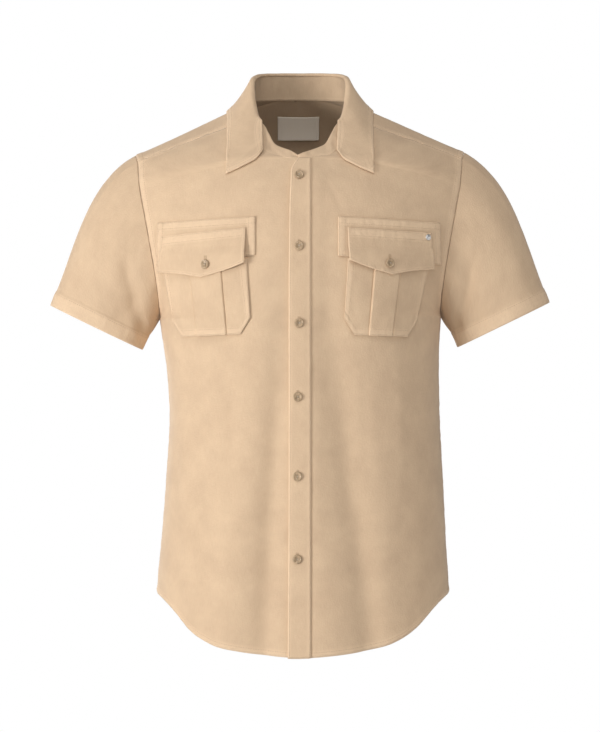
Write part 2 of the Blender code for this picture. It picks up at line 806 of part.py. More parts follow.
def make_pockets():
    """The chest pockets: cut-off lower corners and a raised box pleat."""
    for side, spec in POCKETS.items():
        first, last = spec["pleat"]
        outer = [0, 0.07, 0.17, first - PLEAT_SIDE, first]
        inner = [(first + last) / 2, last, last + PLEAT_SIDE, 0.82, 0.9, 0.96, 1]
        columns = np.array(outer + inner)
        width = spec["x_out"][1] - spec["x_in"][1]
        corner = np.minimum(columns, 1 - columns) * width
        cut = np.maximum(1 - corner / POCKET_CHAMFER["across"], 0) * POCKET_CHAMFER["up"]
        bottom = spec["bottom"][0] + (spec["bottom"][1] - spec["bottom"][0]) * columns + cut
        x, z = across_rows(spec, side, spec["top"], bottom[None, :], columns, POCKET_ROWS)
        pleat = (columns >= first) & (columns <= last)
        out = np.repeat((POCKET_LIE + PLEAT_RISE * pleat)[None, :], POCKET_ROWS, axis=0)
        grid = unlifted(on_front_grid(x, z, out))
        name = "pocket_" + side_name(side)
        add_piece(name, base_mesh([grid], (0, 0, -250)), "twill", WALL, outward=True)


def flap_drop(spec, columns):
    """The flap's lower edge: two sides that meet in a point."""
    side = spec["side"][0] + (spec["side"][1] - spec["side"][0]) * columns
    return side + (spec["point"] - side) * (1 - np.abs(2 * columns - 1))


def make_flaps():
    """The pointed flaps over patch and pocket, lifted a little at the inner edge."""
    for side, spec in FLAPS.items():
        columns = np.linspace(0, 1, FLAP_GRID[1])
        bottom = flap_drop(spec, columns)
        x, z = across_rows(spec, side, spec["top"], bottom[None, :], columns, FLAP_GRID[0])
        down = np.linspace(0, 1, FLAP_GRID[0])[:, None]
        over_patch = LIE + WALL + GAP + 0.1
        over_pocket = POCKET_LIE + PLEAT_RISE + WALL + GAP + 0.3
        base = over_patch + (over_pocket - over_patch) * ease((-z - 185) / 14)
        lift = spec["lift"] * ease(1 - columns[None, :] / 0.25) * ease(down * 1.6)
        grid = unlifted(on_front_grid(x, z, base + lift))
        name = "flap_" + side_name(side)
        add_piece(name, base_mesh([grid], (0, 0, -200)), "twill", WALL, outward=True)


def turned(name, profile, centre, normal, finish, segments):
    """A turned piece: a profile of radius and height, spun about the way that it faces."""
    mesh = bmesh.new()
    verts = [mesh.verts.new((radius * MM, 0, height * MM)) for radius, height in profile]
    for first, second in zip(verts, verts[1:]):
        mesh.edges.new((first, second))
    bmesh.ops.spin(mesh, geom=list(mesh.verts) + list(mesh.edges), cent=(0, 0, 0), axis=(0, 0, 1),
                   angle=2 * math.pi, steps=segments, use_merge=True)
    bmesh.ops.remove_doubles(mesh, verts=mesh.verts, dist=0.00001)
    bmesh.ops.recalc_face_normals(mesh, faces=mesh.faces)
    piece = add_piece(name, mesh, finish)
    piece.location = Vector(centre) * MM
    piece.rotation_mode = "QUATERNION"
    piece.rotation_quaternion = Vector(normal).to_track_quat("Z", "X")
    return piece


def solid_tree(name):
    """The outside of a finished piece, with its wall."""
    graph = bpy.context.evaluated_depsgraph_get()
    return BVHTree.FromObject(bpy.data.objects[name], graph)


def button_profile():
    """A rimmed button, from the middle of its dished face round to the middle of its back."""
    radius, height = BUTTON["radius"], BUTTON["height"]
    floor = height - BUTTON["dish_depth"]
    return ((0, floor), (BUTTON["dish"] - 0.6, floor), (BUTTON["dish"], height - 0.1),
            (radius - 0.7, height), (radius, height - 0.8), (radius - 0.6, 0.3), (radius - 1.6, 0),
            (0, 0))


def make_buttons():
    """Six front buttons, two flap buttons and the rivet."""
    bpy.context.view_layer.update()
    spots = [("button_%d" % (row + 1), "placket", BUTTON_PLACES["x"][row], BUTTON_PLACES["z"][row])
             for row in range(len(BUTTON_PLACES["z"]))]
    spots += [("flap_button_" + side_name(side), "flap_" + side_name(side), x, z)
              for side, (x, z) in FLAP_BUTTONS.items()]
    for name, under, x, z in spots:
        place, normal = seat([solid_tree(under)], x, z)
        profile = button_profile()
        turned(name, profile, place + normal * BUTTON["lie"], normal, "button", 16)
    place, normal = seat([solid_tree("flap_left")], RIVET["x"], RIVET["z"])
    radius, height = RIVET["radius"], RIVET["height"]
    profile = ((0, height), (radius * 0.5, height * 0.88), (radius * 0.85, height * 0.5),
               (radius, 0), (0, 0))
    turned("rivet", profile, place + normal * BUTTON["lie"], normal, "metal", 14)


def make_label():
    """The woven label, inside the yoke below the collar."""
    xs = np.linspace(LABEL["left"], LABEL["right"], 7)
    zs = np.linspace(LABEL["top"], LABEL["bottom"], 5)
    rows = []
    for z in zs:
        row = []
        for x in xs:
            hit, normal, _, _ = yoke_tree.ray_cast(Vector((x, 0, z)) * MM, Vector((0, 1, 0)))
            row.append(np.array(hit - normal * (WALL + GAP + LABEL["thick"]) * MM) / MM)
        rows.append(row)
    mesh = base_mesh([unlifted(rows)], (0, 0, -100))
    add_piece("neck_label", mesh, "label", LABEL["thick"], outward=True)


for old in list(bpy.data.objects):
    bpy.data.objects.remove(old)
parts = bpy.data.collections.new(COLLECTION)
bpy.context.scene.collection.children.link(parts)

make_panels()
make_placket()
make_sleeves()

fine_levels = np.linspace(0, FRONT_ROWS, FRONT_ROWS * 3 + 1)
fine_fronts = [mirrored(front_grid(side, fine_levels, HALF_COLUMNS * 3), side)
               for side in (RIGHT, LEFT)]
fine_yoke = [mirrored(yoke_half(side, np.linspace(0, YOKE_ROWS, 25), HALF_COLUMNS), side)
             for side in (RIGHT, LEFT)]
levels = range(FRONT_ROWS + 1)
real_fronts = [mirrored(front_grid(side, levels, HALF_COLUMNS + 1), side) for side in (RIGHT, LEFT)]
real_yoke = [mirrored(yoke_half(side, range(YOKE_ROWS + 1), HALF_COLUMNS), side)
             for side in (RIGHT, LEFT)]
fronts = [look_up(fine_fronts), look_up(real_fronts)]
body = [look_up(fine_fronts + fine_yoke), look_up(real_fronts + real_yoke)]
yoke_tree = look_up(real_yoke)

make_leaf(make_stand())
make_patches()
make_pockets()
make_flaps()
make_buttons()
make_label()
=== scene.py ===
import math

import bmesh
import bpy
import numpy as np
from mathutils import Matrix, Vector, noise
from mathutils.bvhtree import BVHTree


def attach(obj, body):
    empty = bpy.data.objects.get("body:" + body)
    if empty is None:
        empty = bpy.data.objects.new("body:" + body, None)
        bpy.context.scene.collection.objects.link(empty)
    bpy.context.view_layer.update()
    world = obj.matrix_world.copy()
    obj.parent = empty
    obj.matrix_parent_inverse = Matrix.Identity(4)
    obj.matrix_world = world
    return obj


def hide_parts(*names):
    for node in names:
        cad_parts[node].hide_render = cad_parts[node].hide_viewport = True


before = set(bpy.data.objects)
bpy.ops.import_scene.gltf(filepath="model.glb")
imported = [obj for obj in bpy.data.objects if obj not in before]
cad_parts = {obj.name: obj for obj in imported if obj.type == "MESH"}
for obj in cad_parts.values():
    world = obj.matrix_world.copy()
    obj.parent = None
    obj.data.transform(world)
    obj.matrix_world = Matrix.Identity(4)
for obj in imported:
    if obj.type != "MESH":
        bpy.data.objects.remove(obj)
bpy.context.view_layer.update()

# Studio: a pale round floor below the shirt, a white surround, a large soft light from the
# wearer's right, a weak one from the other side, and one each from the front, from above and
# from behind. The camera stands where the photo's did.
FLOOR_Z = -1.42
SUBJECT = (0, 0, -0.34)

bpy.context.scene.view_settings.view_transform = "Standard"
camera = bpy.data.objects.new("camera", bpy.data.cameras.new("camera"))
camera.data.lens = 145.7
camera.data.sensor_width = 36
camera.data.clip_end = 60
camera.location = (0, -4.0, -0.343)
camera.rotation_euler = (math.pi / 2, 0, 0)
bpy.context.scene.collection.objects.link(camera)
bpy.context.scene.camera = camera


def add_node(graph, kind, inputs, **settings):
    """A new shader node. An input takes a value, or a link where it is given an output."""
    made = graph.nodes.new("ShaderNode" + kind)
    for name, value in settings.items():
        setattr(made, name, value)
    for name, value in inputs.items():
        if isinstance(value, bpy.types.NodeSocket):
            graph.links.new(value, made.inputs[name])
        else:
            made.inputs[name].default_value = value
    return made


def new_finish(name, values):
    """A new material with its node graph and its shader, whose own values are given."""
    finish = bpy.data.materials.new(name)
    finish.use_nodes = True
    shader = finish.node_tree.nodes["Principled BSDF"]
    for socket, value in values.items():
        shader.inputs[socket].default_value = value
    return finish, finish.node_tree, shader


surround = bpy.data.worlds.new("white_surround")
surround.use_nodes = True
bpy.context.scene.world = surround
graph = surround.node_tree
seen = graph.nodes["Background"]
seen.inputs["Color"].default_value = (1, 1, 1, 1)
seen.inputs["Strength"].default_value = 1.0
lighting = add_node(graph, "Background", {"Color": (1, 0.98, 0.96, 1), "Strength": 0.24})
path = add_node(graph, "LightPath", {})
choice = add_node(graph, "MixShader", {"Fac": path.outputs["Is Camera Ray"],
                                       1: lighting.outputs["Background"],
                                       2: seen.outputs["Background"]})
graph.links.new(choice.outputs["Shader"], graph.nodes["World Output"].inputs["Surface"])

SOFT_LIGHTS = (
    ("key_light", (-3.2, -2.4, -0.45), 1.5, 99, (1, 0.985, 0.97)),
    ("fill_light", (3.1, -1.3, -0.6), 1.8, 15, (1, 0.975, 0.95)),
    ("front_light", (0.0, -3.7, 0.75), 0.8, 15, (1, 0.985, 0.97)),
    ("top_light", (-0.2, -1.7, 2.3), 1.6, 28, (1, 0.985, 0.965)),
    ("back_light", (-1.6, 3.4, 0.2), 2.2, 70, (1, 0.985, 0.965)),
)
for name, place, size, power, tint in SOFT_LIGHTS:
    lamp = bpy.data.objects.new(name, bpy.data.lights.new(name, "AREA"))
    lamp.data.shape = "DISK"
    lamp.data.size = size
    lamp.data.energy = power
    lamp.data.color = tint
    lamp.location = place
    lamp.rotation_mode = "QUATERNION"
    lamp.rotation_quaternion = (Vector(SUBJECT) - Vector(place)).to_track_quat("-Z", "Y")
    bpy.context.scene.collection.objects.link(lamp)

floor_mesh = bmesh.new()
bmesh.ops.create_circle(floor_mesh, cap_ends=True, segments=96, radius=4.5,
                        matrix=Matrix.Translation((0, 0, FLOOR_Z)))
floor_data = bpy.data.meshes.new("floor")
floor_mesh.to_mesh(floor_data)
floor_mesh.free()
floor_paint, _, _ = new_finish("pale_floor", {"Base Color": (0.9, 0.9, 0.9, 1), "Roughness": 0.9})
floor_data.materials.append(floor_paint)
floor = bpy.data.objects.new("floor", floor_data)
bpy.context.scene.collection.objects.link(floor)

# Fronts: two panels of washed cotton twill, one wall thick, that hang from the yoke and close
# down the middle with the left on top. Each is cut on a grid of levels, pressed by its folds,
# puckered beside its seams, and topstitched along the armhole and the hem.
MM = 0.001
RIGHT, LEFT = -1, 1
WALL = 1.1
ARMPIT_Z = -280
NECK_CORNER_Z = -68
PLACKET_EDGE = 14
LAP_END = 40
LAP = 1.8
BODY_ROUND = 2.4
LOW_ROWS = 11
EDGE_LEVELS = (ARMPIT_Z, -248, -214, -180, -148, -120, -98, -81, NECK_CORNER_Z)
EDGE_ROWS = len(EDGE_LEVELS) - 1
NECK_ROWS = 5
FRONT_ROWS = LOW_ROWS + EDGE_ROWS + NECK_ROWS
NECK_ARM_SHARE = 0.80
DENSE = 240  # points in each half row before it is cut into columns
FRONT_FACE, BACK_FACE, SLEEVE_FACE = 0, 1, 2


def table(columns, rows):
    """Named columns from rows of numbers."""
    return {name: np.array(values, float) for name, values in zip(columns.split(), zip(*rows))}


def rows_where(rows, column, value):
    """The rows of a table with one value in a column, each by its column names."""
    found = np.flatnonzero(rows[column] == value)
    return [{name: values[row] for name, values in rows.items()} for row in found]


SIDES = table("z right left", (
    (-760, 196, 204), (-640, 192, 200), (-575, 186, 196), (-494, 180, 192), (-405, 175.5, 187.7),
    (-332, 181, 186.5), (-280, 189, 189)))
FRONT_LINE = table("z y", (
    (-760, -135), (-640, -132), (-500, -130), (-380, -132), (-280, -135), (-200, -127),
    (-150, -118), (-100, -104), (-60, -79)))
BACK_LINE = table("z y", (
    (-760, 133), (-640, 128), (-500, 118), (-400, 115), (-280, 128), (-150, 120), (-80, 108),
    (-20, 85), (21, 52)))
HEM = table("across front back", (
    (0.00, -724.5, -738), (0.20, -721.5, -735), (0.40, -716.5, -727), (0.60, -707, -711),
    (0.75, -689, -690), (0.83, -673, -673), (0.90, -660, -660), (0.97, -650, -650),
    (1.00, -647, -647)))
FREE_EDGE = table("z left right", (
    (-760, -16, -12), (-386, -14.6, -12), (-270, -14.8, -12), (-185, -14.4, -12),
    (-100, -12.4, -12), (-82, -11, -8), (-70, -4, 1), (-62, 3, 4)))
FRONT_NECK = table("x y z", (
    (22, -81.5, -65), (37, -77, -62), (48, -69, -54.5), (54, -58, -42), (60, -44, -27),
    (65.5, -26, -10)))
FRONT_ARMHOLE = table("x y z", (
    (189, 0, -280), (188.5, -26, -266), (191, -44, -238), (198, -53, -192), (207, -50, -142),
    (214.5, -38, -102), (218, -16, -68)))

# The largest folds: each a line down the cloth, with its own width on either side
FOLDS = table("face x_top z_top x_bottom z_bottom left_width right_width depth", (
    (0, -42, -215, -140, -1050, 30, 30, 6.0), (0, -19, -215, -66, -1050, 15, 15, -5.0),
    (0, -10, -215, 69, -1050, 60, 30, 6.5), (0, -162, -340, -118, -1050, 14, 14, 2.0),
    (0, 28, -190, 139, -1050, 20, 20, -5.5), (0, 163, -350, 163, -1050, 14, 14, 1.5),
    (1, -58, -190, -72, -1050, 20, 20, -5.0), (1, 62, -210, 66, -1050, 22, 22, -5.0),
    (1, 2, -260, 6, -1050, 22, 22, 3.5), (1, -124, -300, -130, -1050, 20, 20, 3.0),
    (1, 126, -300, 124, -1050, 20, 20, 3.0), (2, -236, -190, -201, -330, 9, 9, -3.5),
    (2, 232, -200, 201, -330, 9, 9, -3.5)))
FOLD_FADE = 0.7


def smooth(xs, ys, at):
    """Read a column smoothly between the rows of its table."""
    slopes = np.gradient(ys, xs)
    at = np.clip(at, xs[0], xs[-1])
    row = np.clip(np.searchsorted(xs, at, side="right") - 1, 0, len(xs) - 2)
    step = xs[row + 1] - xs[row]
    t = (at - xs[row]) / step
    start = (1 + 2 * t) * (1 - t) ** 2 * ys[row] + t * (1 - t) ** 2 * step * slopes[row]
    end = t * t * (3 - 2 * t) * ys[row + 1] + t * t * (t - 1) * step * slopes[row + 1]
    return start + end


def ease(t):
    """A share that leaves 0 and reaches 1 with no corner."""
    t = np.clip(t, 0, 1)
    return t * t * (3 - 2 * t)


def along(path, share):
    """Points on the smooth line through a table's x, y, z rows, by their share of its length."""
    rows = np.stack([path["x"], path["y"], path["z"]], axis=1)
    length = np.concatenate(([0], np.cumsum(np.linalg.norm(np.diff(rows, axis=0), axis=1))))
    at = np.asarray(share, float) * length[-1]
    return np.stack([smooth(length, rows[:, axis], at) for axis in range(3)], axis=-1)


def lengths(points):
    """Distance along a line of points."""
    return np.concatenate(([0], np.cumsum(np.linalg.norm(np.diff(points, axis=0), axis=1))))


def pick(points, places):
    """Points at given distances along a line of points."""
    run = lengths(points)
    return np.stack([np.interp(places, run, points[:, axis]) for axis in range(3)], axis=1)


def quarter(roundness, turn):
    """A quarter of a rounded section, cut after a share of its turn: across and fore shares."""
    angle = np.linspace(0, turn, DENSE) * math.pi / 2
    across = np.sin(angle) ** (2 / roundness)
    fore = np.cos(angle) ** (2 / roundness)
    return across / across[-1], (fore - fore[-1]) / (1 - fore[-1])


def fold_height(face, x, z):
    """How far the large folds move the cloth out at a place."""
    total = np.zeros_like(x)
    for fold in rows_where(FOLDS, "face", face):
        down = (fold["z_top"] - z) / (fold["z_top"] - fold["z_bottom"])
        line = fold["x_top"] + (fold["x_bottom"] - fold["x_top"]) * down
        length = np.sin(math.pi * np.clip(down, 0, 1)) ** FOLD_FADE
        width = np.where(x < line, fold["left_width"], fold["right_width"])
        total += fold["depth"] * length * np.exp(-((x - line) / width) ** 2)
    return total


def raised(row, side, face, extra):
    """A half row with its folds, moved out level, across its own direction."""
    way = np.gradient(row[:, :2], axis=0)
    way /= np.maximum(np.linalg.norm(way, axis=1), 1e-9)[:, None]
    out = np.stack([way[:, 1], -way[:, 0]], axis=1)
    if face == BACK_FACE:
        out = -out
    fade = 1 - np.clip(lengths(row) / lengths(row)[-1], 0, 1) ** 8
    height = fold_height(face, side * row[:, 0], row[:, 2]) * fade + extra
    moved = row.copy()
    moved[:, :2] += out * height[:, None]
    return moved


def lower_row(side, share, face):
    """A half row between the hem and the armpit, from the middle line to the side seam."""
    across, fore = quarter(BODY_ROUND, 1)
    hem = smooth(HEM["across"], HEM["back" if face == BACK_FACE else "front"], across)
    z = hem + (ARMPIT_Z - hem) * share
    half = smooth(SIDES["z"], SIDES["left" if side == LEFT else "right"], z)
    line = BACK_LINE if face == BACK_FACE else FRONT_LINE
    return np.stack([half * across, smooth(line["z"], line["y"], z) * fore, z], axis=1)


def upper_row(start, end, level, crown=1.0):
    """A half row above the armpit, from the middle or the neckline to the armhole."""
    turn = 0.6 + 0.4 * math.exp(-level / 2.5)
    roundness = 2.0 + 0.4 * math.exp(-level / 4)
    across, fore = quarter(roundness, turn)
    x = start[0] + (end[0] - start[0]) * across
    y = end[1] + (start[1] - end[1]) * fore
    z = start[2] + (end[2] - start[2]) * across ** crown
    return np.stack([x, y, z], axis=1)


def front_edge_x(side, z):
    """The front's free edge, outwards from the middle line."""
    return smooth(FREE_EDGE["z"], FREE_EDGE["left" if side == LEFT else "right"], z)


def front_y(z):
    """The front's middle line, seen from the side."""
    return smooth(FRONT_LINE["z"], FRONT_LINE["y"], z)


def neck_point(side, share):
    """A point of the front's neckline, from its free edge to the yoke seam."""
    z = NECK_CORNER_Z
    corner = (front_edge_x(side, z), front_y(z), z)
    edge = {name: np.concatenate(([value], FRONT_NECK[name])) for name, value in zip("xyz", corner)}
    return along(edge, share)


def front_line(side, k):
    """A front's level k as a dense half row, with the lap at the closing and the folds."""
    j = max(k - LOW_ROWS, 0)
    if k <= LOW_ROWS:
        row = lower_row(side, k / LOW_ROWS, FRONT_FACE)
        start = np.array((front_edge_x(side, row[0, 2]), row[0, 1], row[0, 2]))
    else:
        if j <= EDGE_ROWS:
            z = smooth(np.arange(EDGE_ROWS + 1.0), np.array(EDGE_LEVELS, float), j)
            start = np.array((front_edge_x(side, z), front_y(z), z))
            arm = NECK_ARM_SHARE * j / EDGE_ROWS
            crown = 2
        else:
            up_neck = (j - EDGE_ROWS) / NECK_ROWS
            start = neck_point(side, up_neck)
            arm = NECK_ARM_SHARE + (1 - NECK_ARM_SHARE) * up_neck
            crown = 2 - up_neck
        middle = start.copy()
        middle[0] = max(start[0], 0)
        row = upper_row(middle, along(FRONT_ARMHOLE, arm), j, crown)
    if start[0] < 0:
        lap = np.linspace(0, 1, 24)[:-1, None]
        row = np.concatenate([start + (row[0] - start) * lap, row])
    extra = np.zeros(len(row))
    if side == LEFT:
        slope = (front_y(start[2] + 1) - front_y(start[2] - 1)) / 2
        lap = LAP * math.sqrt(1 + slope ** 2)
        extra = lap * (1 - ease((row[:, 0] - PLACKET_EDGE) / (LAP_END - PLACKET_EDGE)))
    return raised(row, side, FRONT_FACE, extra)


def front_places(side, k, parts):
    """Where the columns cut a front's level: lap, placket edge and lap end keep their own."""
    line = front_line(side, min(k, LOW_ROWS + EDGE_ROWS))
    run = lengths(line)
    first, second = [np.interp(mark, line[:, 0], run) for mark in (PLACKET_EDGE, LAP_END)]
    places = np.concatenate((np.linspace(0, first, parts[0]),
                             np.linspace(first, second, parts[1])[1:],
                             np.linspace(second, run[-1], parts[2])[1:]))
    return places / run[-1]


def front_grid(side, levels, parts):
    """Points of a front, level by level, on its own side of the middle."""
    grid = []
    for k in levels:
        line = front_line(side, k)
        grid.append(pick(line, front_places(side, k, parts) * lengths(line)[-1]))
    return np.array(grid) * (side, 1, 1)


def shoulder_lift(points):
    """How much higher each point sits because of the wearer's left shoulder."""
    return 4 * ease((points[..., 0] - 60) / 150) * ease((points[..., 2] + 420) / 130)


def placed(points):
    """Points in metres, with the wearer's left shoulder a little higher than the right."""
    points = np.array(points, float)
    points[..., 2] += shoulder_lift(points)
    return points * MM


def ways_out(grid, inside):
    """The way that each point of a grid of cloth faces, away from a place inside it."""
    way = np.cross(np.gradient(grid, axis=1), np.gradient(grid, axis=0))
    way /= np.maximum(np.linalg.norm(way, axis=-1, keepdims=True), 1e-9)
    return way * np.sign(((grid - np.array(inside)) * way).sum())


def wander(points, scale, seed):
    """Slow uneven heights, one for each point, between about -1 and 1."""
    flat = (points / np.asarray(scale, float)).reshape(-1, 3) + (seed * 7.31, seed * 3.17, 0.37)
    return np.array([noise.noise(Vector(place)) for place in flat]).reshape(points.shape[:-1])


def creased(rows, face, grid):
    """Heights of the smaller creases at each point, as it is seen from the front."""
    x, z = grid[..., 0], grid[..., 2]
    total = np.zeros(x.shape)
    for crease in rows_where(rows, "face", face):
        over, down = crease["x_end"] - crease["x"], crease["z_end"] - crease["z"]
        size = math.hypot(over, down)
        t = ((x - crease["x"]) * over + (z - crease["z"]) * down) / size ** 2
        off = ((x - crease["x"]) * down - (z - crease["z"]) * over) / size
        off = off - crease["bow"] * 4 * t * (1 - t)
        length = np.sin(math.pi * np.clip(t, 0, 1))
        total += crease["depth"] * length * np.exp(-(off / crease["width"]) ** 2)
    return total


CREASES = table("face x z x_end z_end bow width depth", (
    (0, -150, -345, -168, -600, 4, 7, -0.8), (0, -95, -330, -88, -560, -3, 8, -0.9),
    (0, -66, -300, -84, -470, 2, 7, 0.8), (0, 84, -320, 92, -520, 3, 9, -1.0),
    (0, 128, -330, 132, -540, -3, 8, 0.8), (0, 160, -340, 170, -560, 3, 7, -0.7),
    (0, -28, -90, -55, -150, 3, 5, -0.6), (0, 30, -92, 58, -150, -3, 5, -0.6),
    (0, -185, -290, -120, -330, 5, 7, -1.2), (0, 186, -290, 122, -330, -5, 7, -1.2),
    (0, -190, -250, -150, -330, 5, 6, -0.9), (0, 188, -250, 150, -330, -5, 6, -0.9),
    (1, -120, -130, -60, -300, 8, 10, -1.6), (1, 125, -140, 70, -310, -8, 10, -1.6),
    (1, -170, -300, -90, -380, 6, 9, -1.8), (1, 172, -295, 95, -370, -6, 9, -1.8),
    (1, -30, -400, -38, -640, 4, 12, -1.6), (1, 36, -420, 28, -660, -4, 12, -1.4),
    (1, -160, -420, -150, -620, 3, 10, 1.3), (1, 158, -430, 162, -620, -3, 10, 1.2)))


def edge_first(grid, edge, back=False):
    """A grid turned so that the named edge is its first column, or turned back from that."""
    if edge == "last_column":
        return grid[:, ::-1]
    if edge == "first_row":
        return grid.swapaxes(0, 1)
    if edge == "last_row":
        return grid.swapaxes(0, 1)[::-1] if back else grid[::-1].swapaxes(0, 1)
    return grid


def spans(grid):
    """Distance of each point from the first column, along its row."""
    steps = np.linalg.norm(np.diff(grid, axis=1), axis=-1)
    return np.concatenate([np.zeros((len(grid), 1)), np.cumsum(steps, axis=1)], axis=1)


def far_from(grid, edge):
    """Distance of each point from the named edge, along the cloth."""
    return edge_first(spans(edge_first(grid, edge)), edge, back=True)


def sewn_height(grid, seams, seed):
    """Heights beside stitched edges: doubled cloth, a groove at each row, and puckers."""
    height = np.zeros(grid.shape[:2])
    for edge, rows in seams:
        view = edge_first(grid, edge)
        far = spans(view)
        run = np.repeat(lengths(view[:, 0])[:, None], view.shape[1], axis=1)
        place = np.stack([run, far * 0.3, np.zeros_like(far)], axis=-1)
        last = max(rows)
        band = 0.5 * (1 - ease((far - last - 0.6) / 1.6)) - 0.5 * np.exp(-(far / 0.9) ** 2)
        grooves = sum(np.exp(-((far - row) / 0.9) ** 2) for row in rows)
        near = np.exp(-((far - last / 2) / (last * 0.6 + 2)) ** 2)
        pucker = wander(place, (4.2, 4, 1), seed) * near
        tail = wander(place, (9, 12, 1), seed + 5) * np.exp(-(far / (last + 9)) ** 2)
        height += edge_first(band - 0.3 * grooves + 0.5 * pucker + 0.4 * tail, edge, back=True)
    return height


def rubbed(grid, seams):
    """How washed-out each point is: most on the very edge and along stitched ridges."""
    wear = np.zeros(grid.shape[:2])
    for edge, rows in seams:
        far = far_from(grid, edge)
        wear = np.maximum(wear, np.exp(-(far / 1.3) ** 2))
        wear = np.maximum(wear, 0.55 * (1 - ease((far - max(rows)) / 3)))
    return wear


def washed(grid, face, inside, seams, seed, sway=1.0):
    """A grid of cloth with its creases, its slow waves and its sewn edges."""
    out = ways_out(grid, inside)
    height = creased(CREASES, face, grid)
    waves = 1.1 * wander(grid, (70, 70, 210), seed) + 0.45 * wander(grid, (26, 26, 60), seed + 3)
    height += sway * waves
    height += 0.16 * wander(grid, (9, 9, 14), seed + 6)
    fade = np.ones(height.shape)
    for edge, _ in seams:
        fade = fade * ease(far_from(grid, edge) / 14)
    height = height * fade + sewn_height(grid, seams, seed)
    return grid + out * height[..., None]


def cloth_map(grid):
    """The place of each point on the flat cloth, in metres, measured from the middle of the grid."""
    across = spans(grid)
    down = spans(grid.swapaxes(0, 1)).swapaxes(0, 1)
    middle = (grid.shape[0] // 2, grid.shape[1] // 2)
    across = across - across[:, middle[1]][:, None]
    down = down - down[middle[0]][None, :]
    return np.stack([across, down], axis=-1) * MM


def sewing_surface(parts, inside):
    """An open surface through grids of points, with the flat cloth's place and its wear."""
    mesh = bmesh.new()
    flat_layer = mesh.loops.layers.uv.new("cloth")
    wear_layer = mesh.verts.layers.float.new("worn")
    for grid, seams in parts:
        rows, columns = grid.shape[:2]
        wear, flat = rubbed(grid, seams), cloth_map(grid)
        points = placed(grid)
        made = bmesh.ops.create_grid(mesh, x_segments=columns - 1, y_segments=rows - 1,
                                     size=1)["verts"]
        index = {}
        for vert in made:
            column = round((vert.co.x + 1) / 2 * (columns - 1))
            row = round((vert.co.y + 1) / 2 * (rows - 1))
            index[vert] = (row, column)
            vert[wear_layer] = wear[row, column]
        for face in {face for vert in made for face in vert.link_faces}:
            for loop in face.loops:
                loop[flat_layer].uv = flat[index[loop.vert]]
        for vert, place in index.items():
            vert.co = points[place]
    bmesh.ops.remove_doubles(mesh, verts=mesh.verts, dist=0.00001)
    bmesh.ops.recalc_face_normals(mesh, faces=mesh.faces)
    inside = Vector(inside) * MM
    facing = sum((f.calc_center_median() - inside).dot(f.normal) * f.calc_area() for f in mesh.faces)
    if facing < 0:
        bmesh.ops.reverse_faces(mesh, faces=mesh.faces)
    return mesh


def finished(name, mesh, finish):
    """The piece's object, in place, riding with the garment."""
    data = bpy.data.meshes.new(name)
    mesh.to_mesh(data)
    mesh.free()
    data.shade_smooth()
    data.materials.append(finish)
    piece = bpy.data.objects.new(name, data)
    bpy.context.scene.collection.objects.link(piece)
    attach(piece, "root")
    return piece


def cloth_piece(name, node, parts, inside, finish, outward=False, wall=WALL):
    """A cloth piece with its wall, which stands for its node. Gives the surface it was cut on."""
    mesh = sewing_surface(parts, inside)
    mesh.verts.index_update()
    surface = ([vert.co.copy() for vert in mesh.verts],
               [[vert.index for vert in face.verts] for face in mesh.faces])
    piece = finished(name, mesh, finish)
    # Inner faces take the darker inside twill, whose colour paints the shade inside the shirt.
    if not outward:
        piece.data.materials.append(shaded_inner_twill)
    solid = piece.modifiers.new("wall", "SOLIDIFY")
    solid.material_offset = 0 if outward else 1
    solid.thickness = wall * MM
    solid.offset = 1 if outward else -1
    solid.use_even_offset = False
    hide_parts(node)
    return surface


def look_up(surfaces):
    """Several surfaces as one that can be asked for its nearest point or where a line meets it."""
    points, faces = [], []
    for verts, cells in surfaces:
        faces += [[index + len(points) for index in cell] for cell in cells]
        points += verts
    return BVHTree.FromPolygons(points, faces)


def toned(tint, shares):
    """A tint made darker or paler, part by part."""
    return tuple(part * share for part, share in zip(tint, shares))


def ramp(graph, amount, dark, light, span=(0, 1)):
    """A colour for each amount, from dark to light over a span."""
    shades = add_node(graph, "ValToRGB", {"Fac": amount})
    for element, position, shade in zip(shades.color_ramp.elements, span, (dark, light)):
        element.position = position
        element.color = (*shade, 1)
    return shades.outputs["Color"]


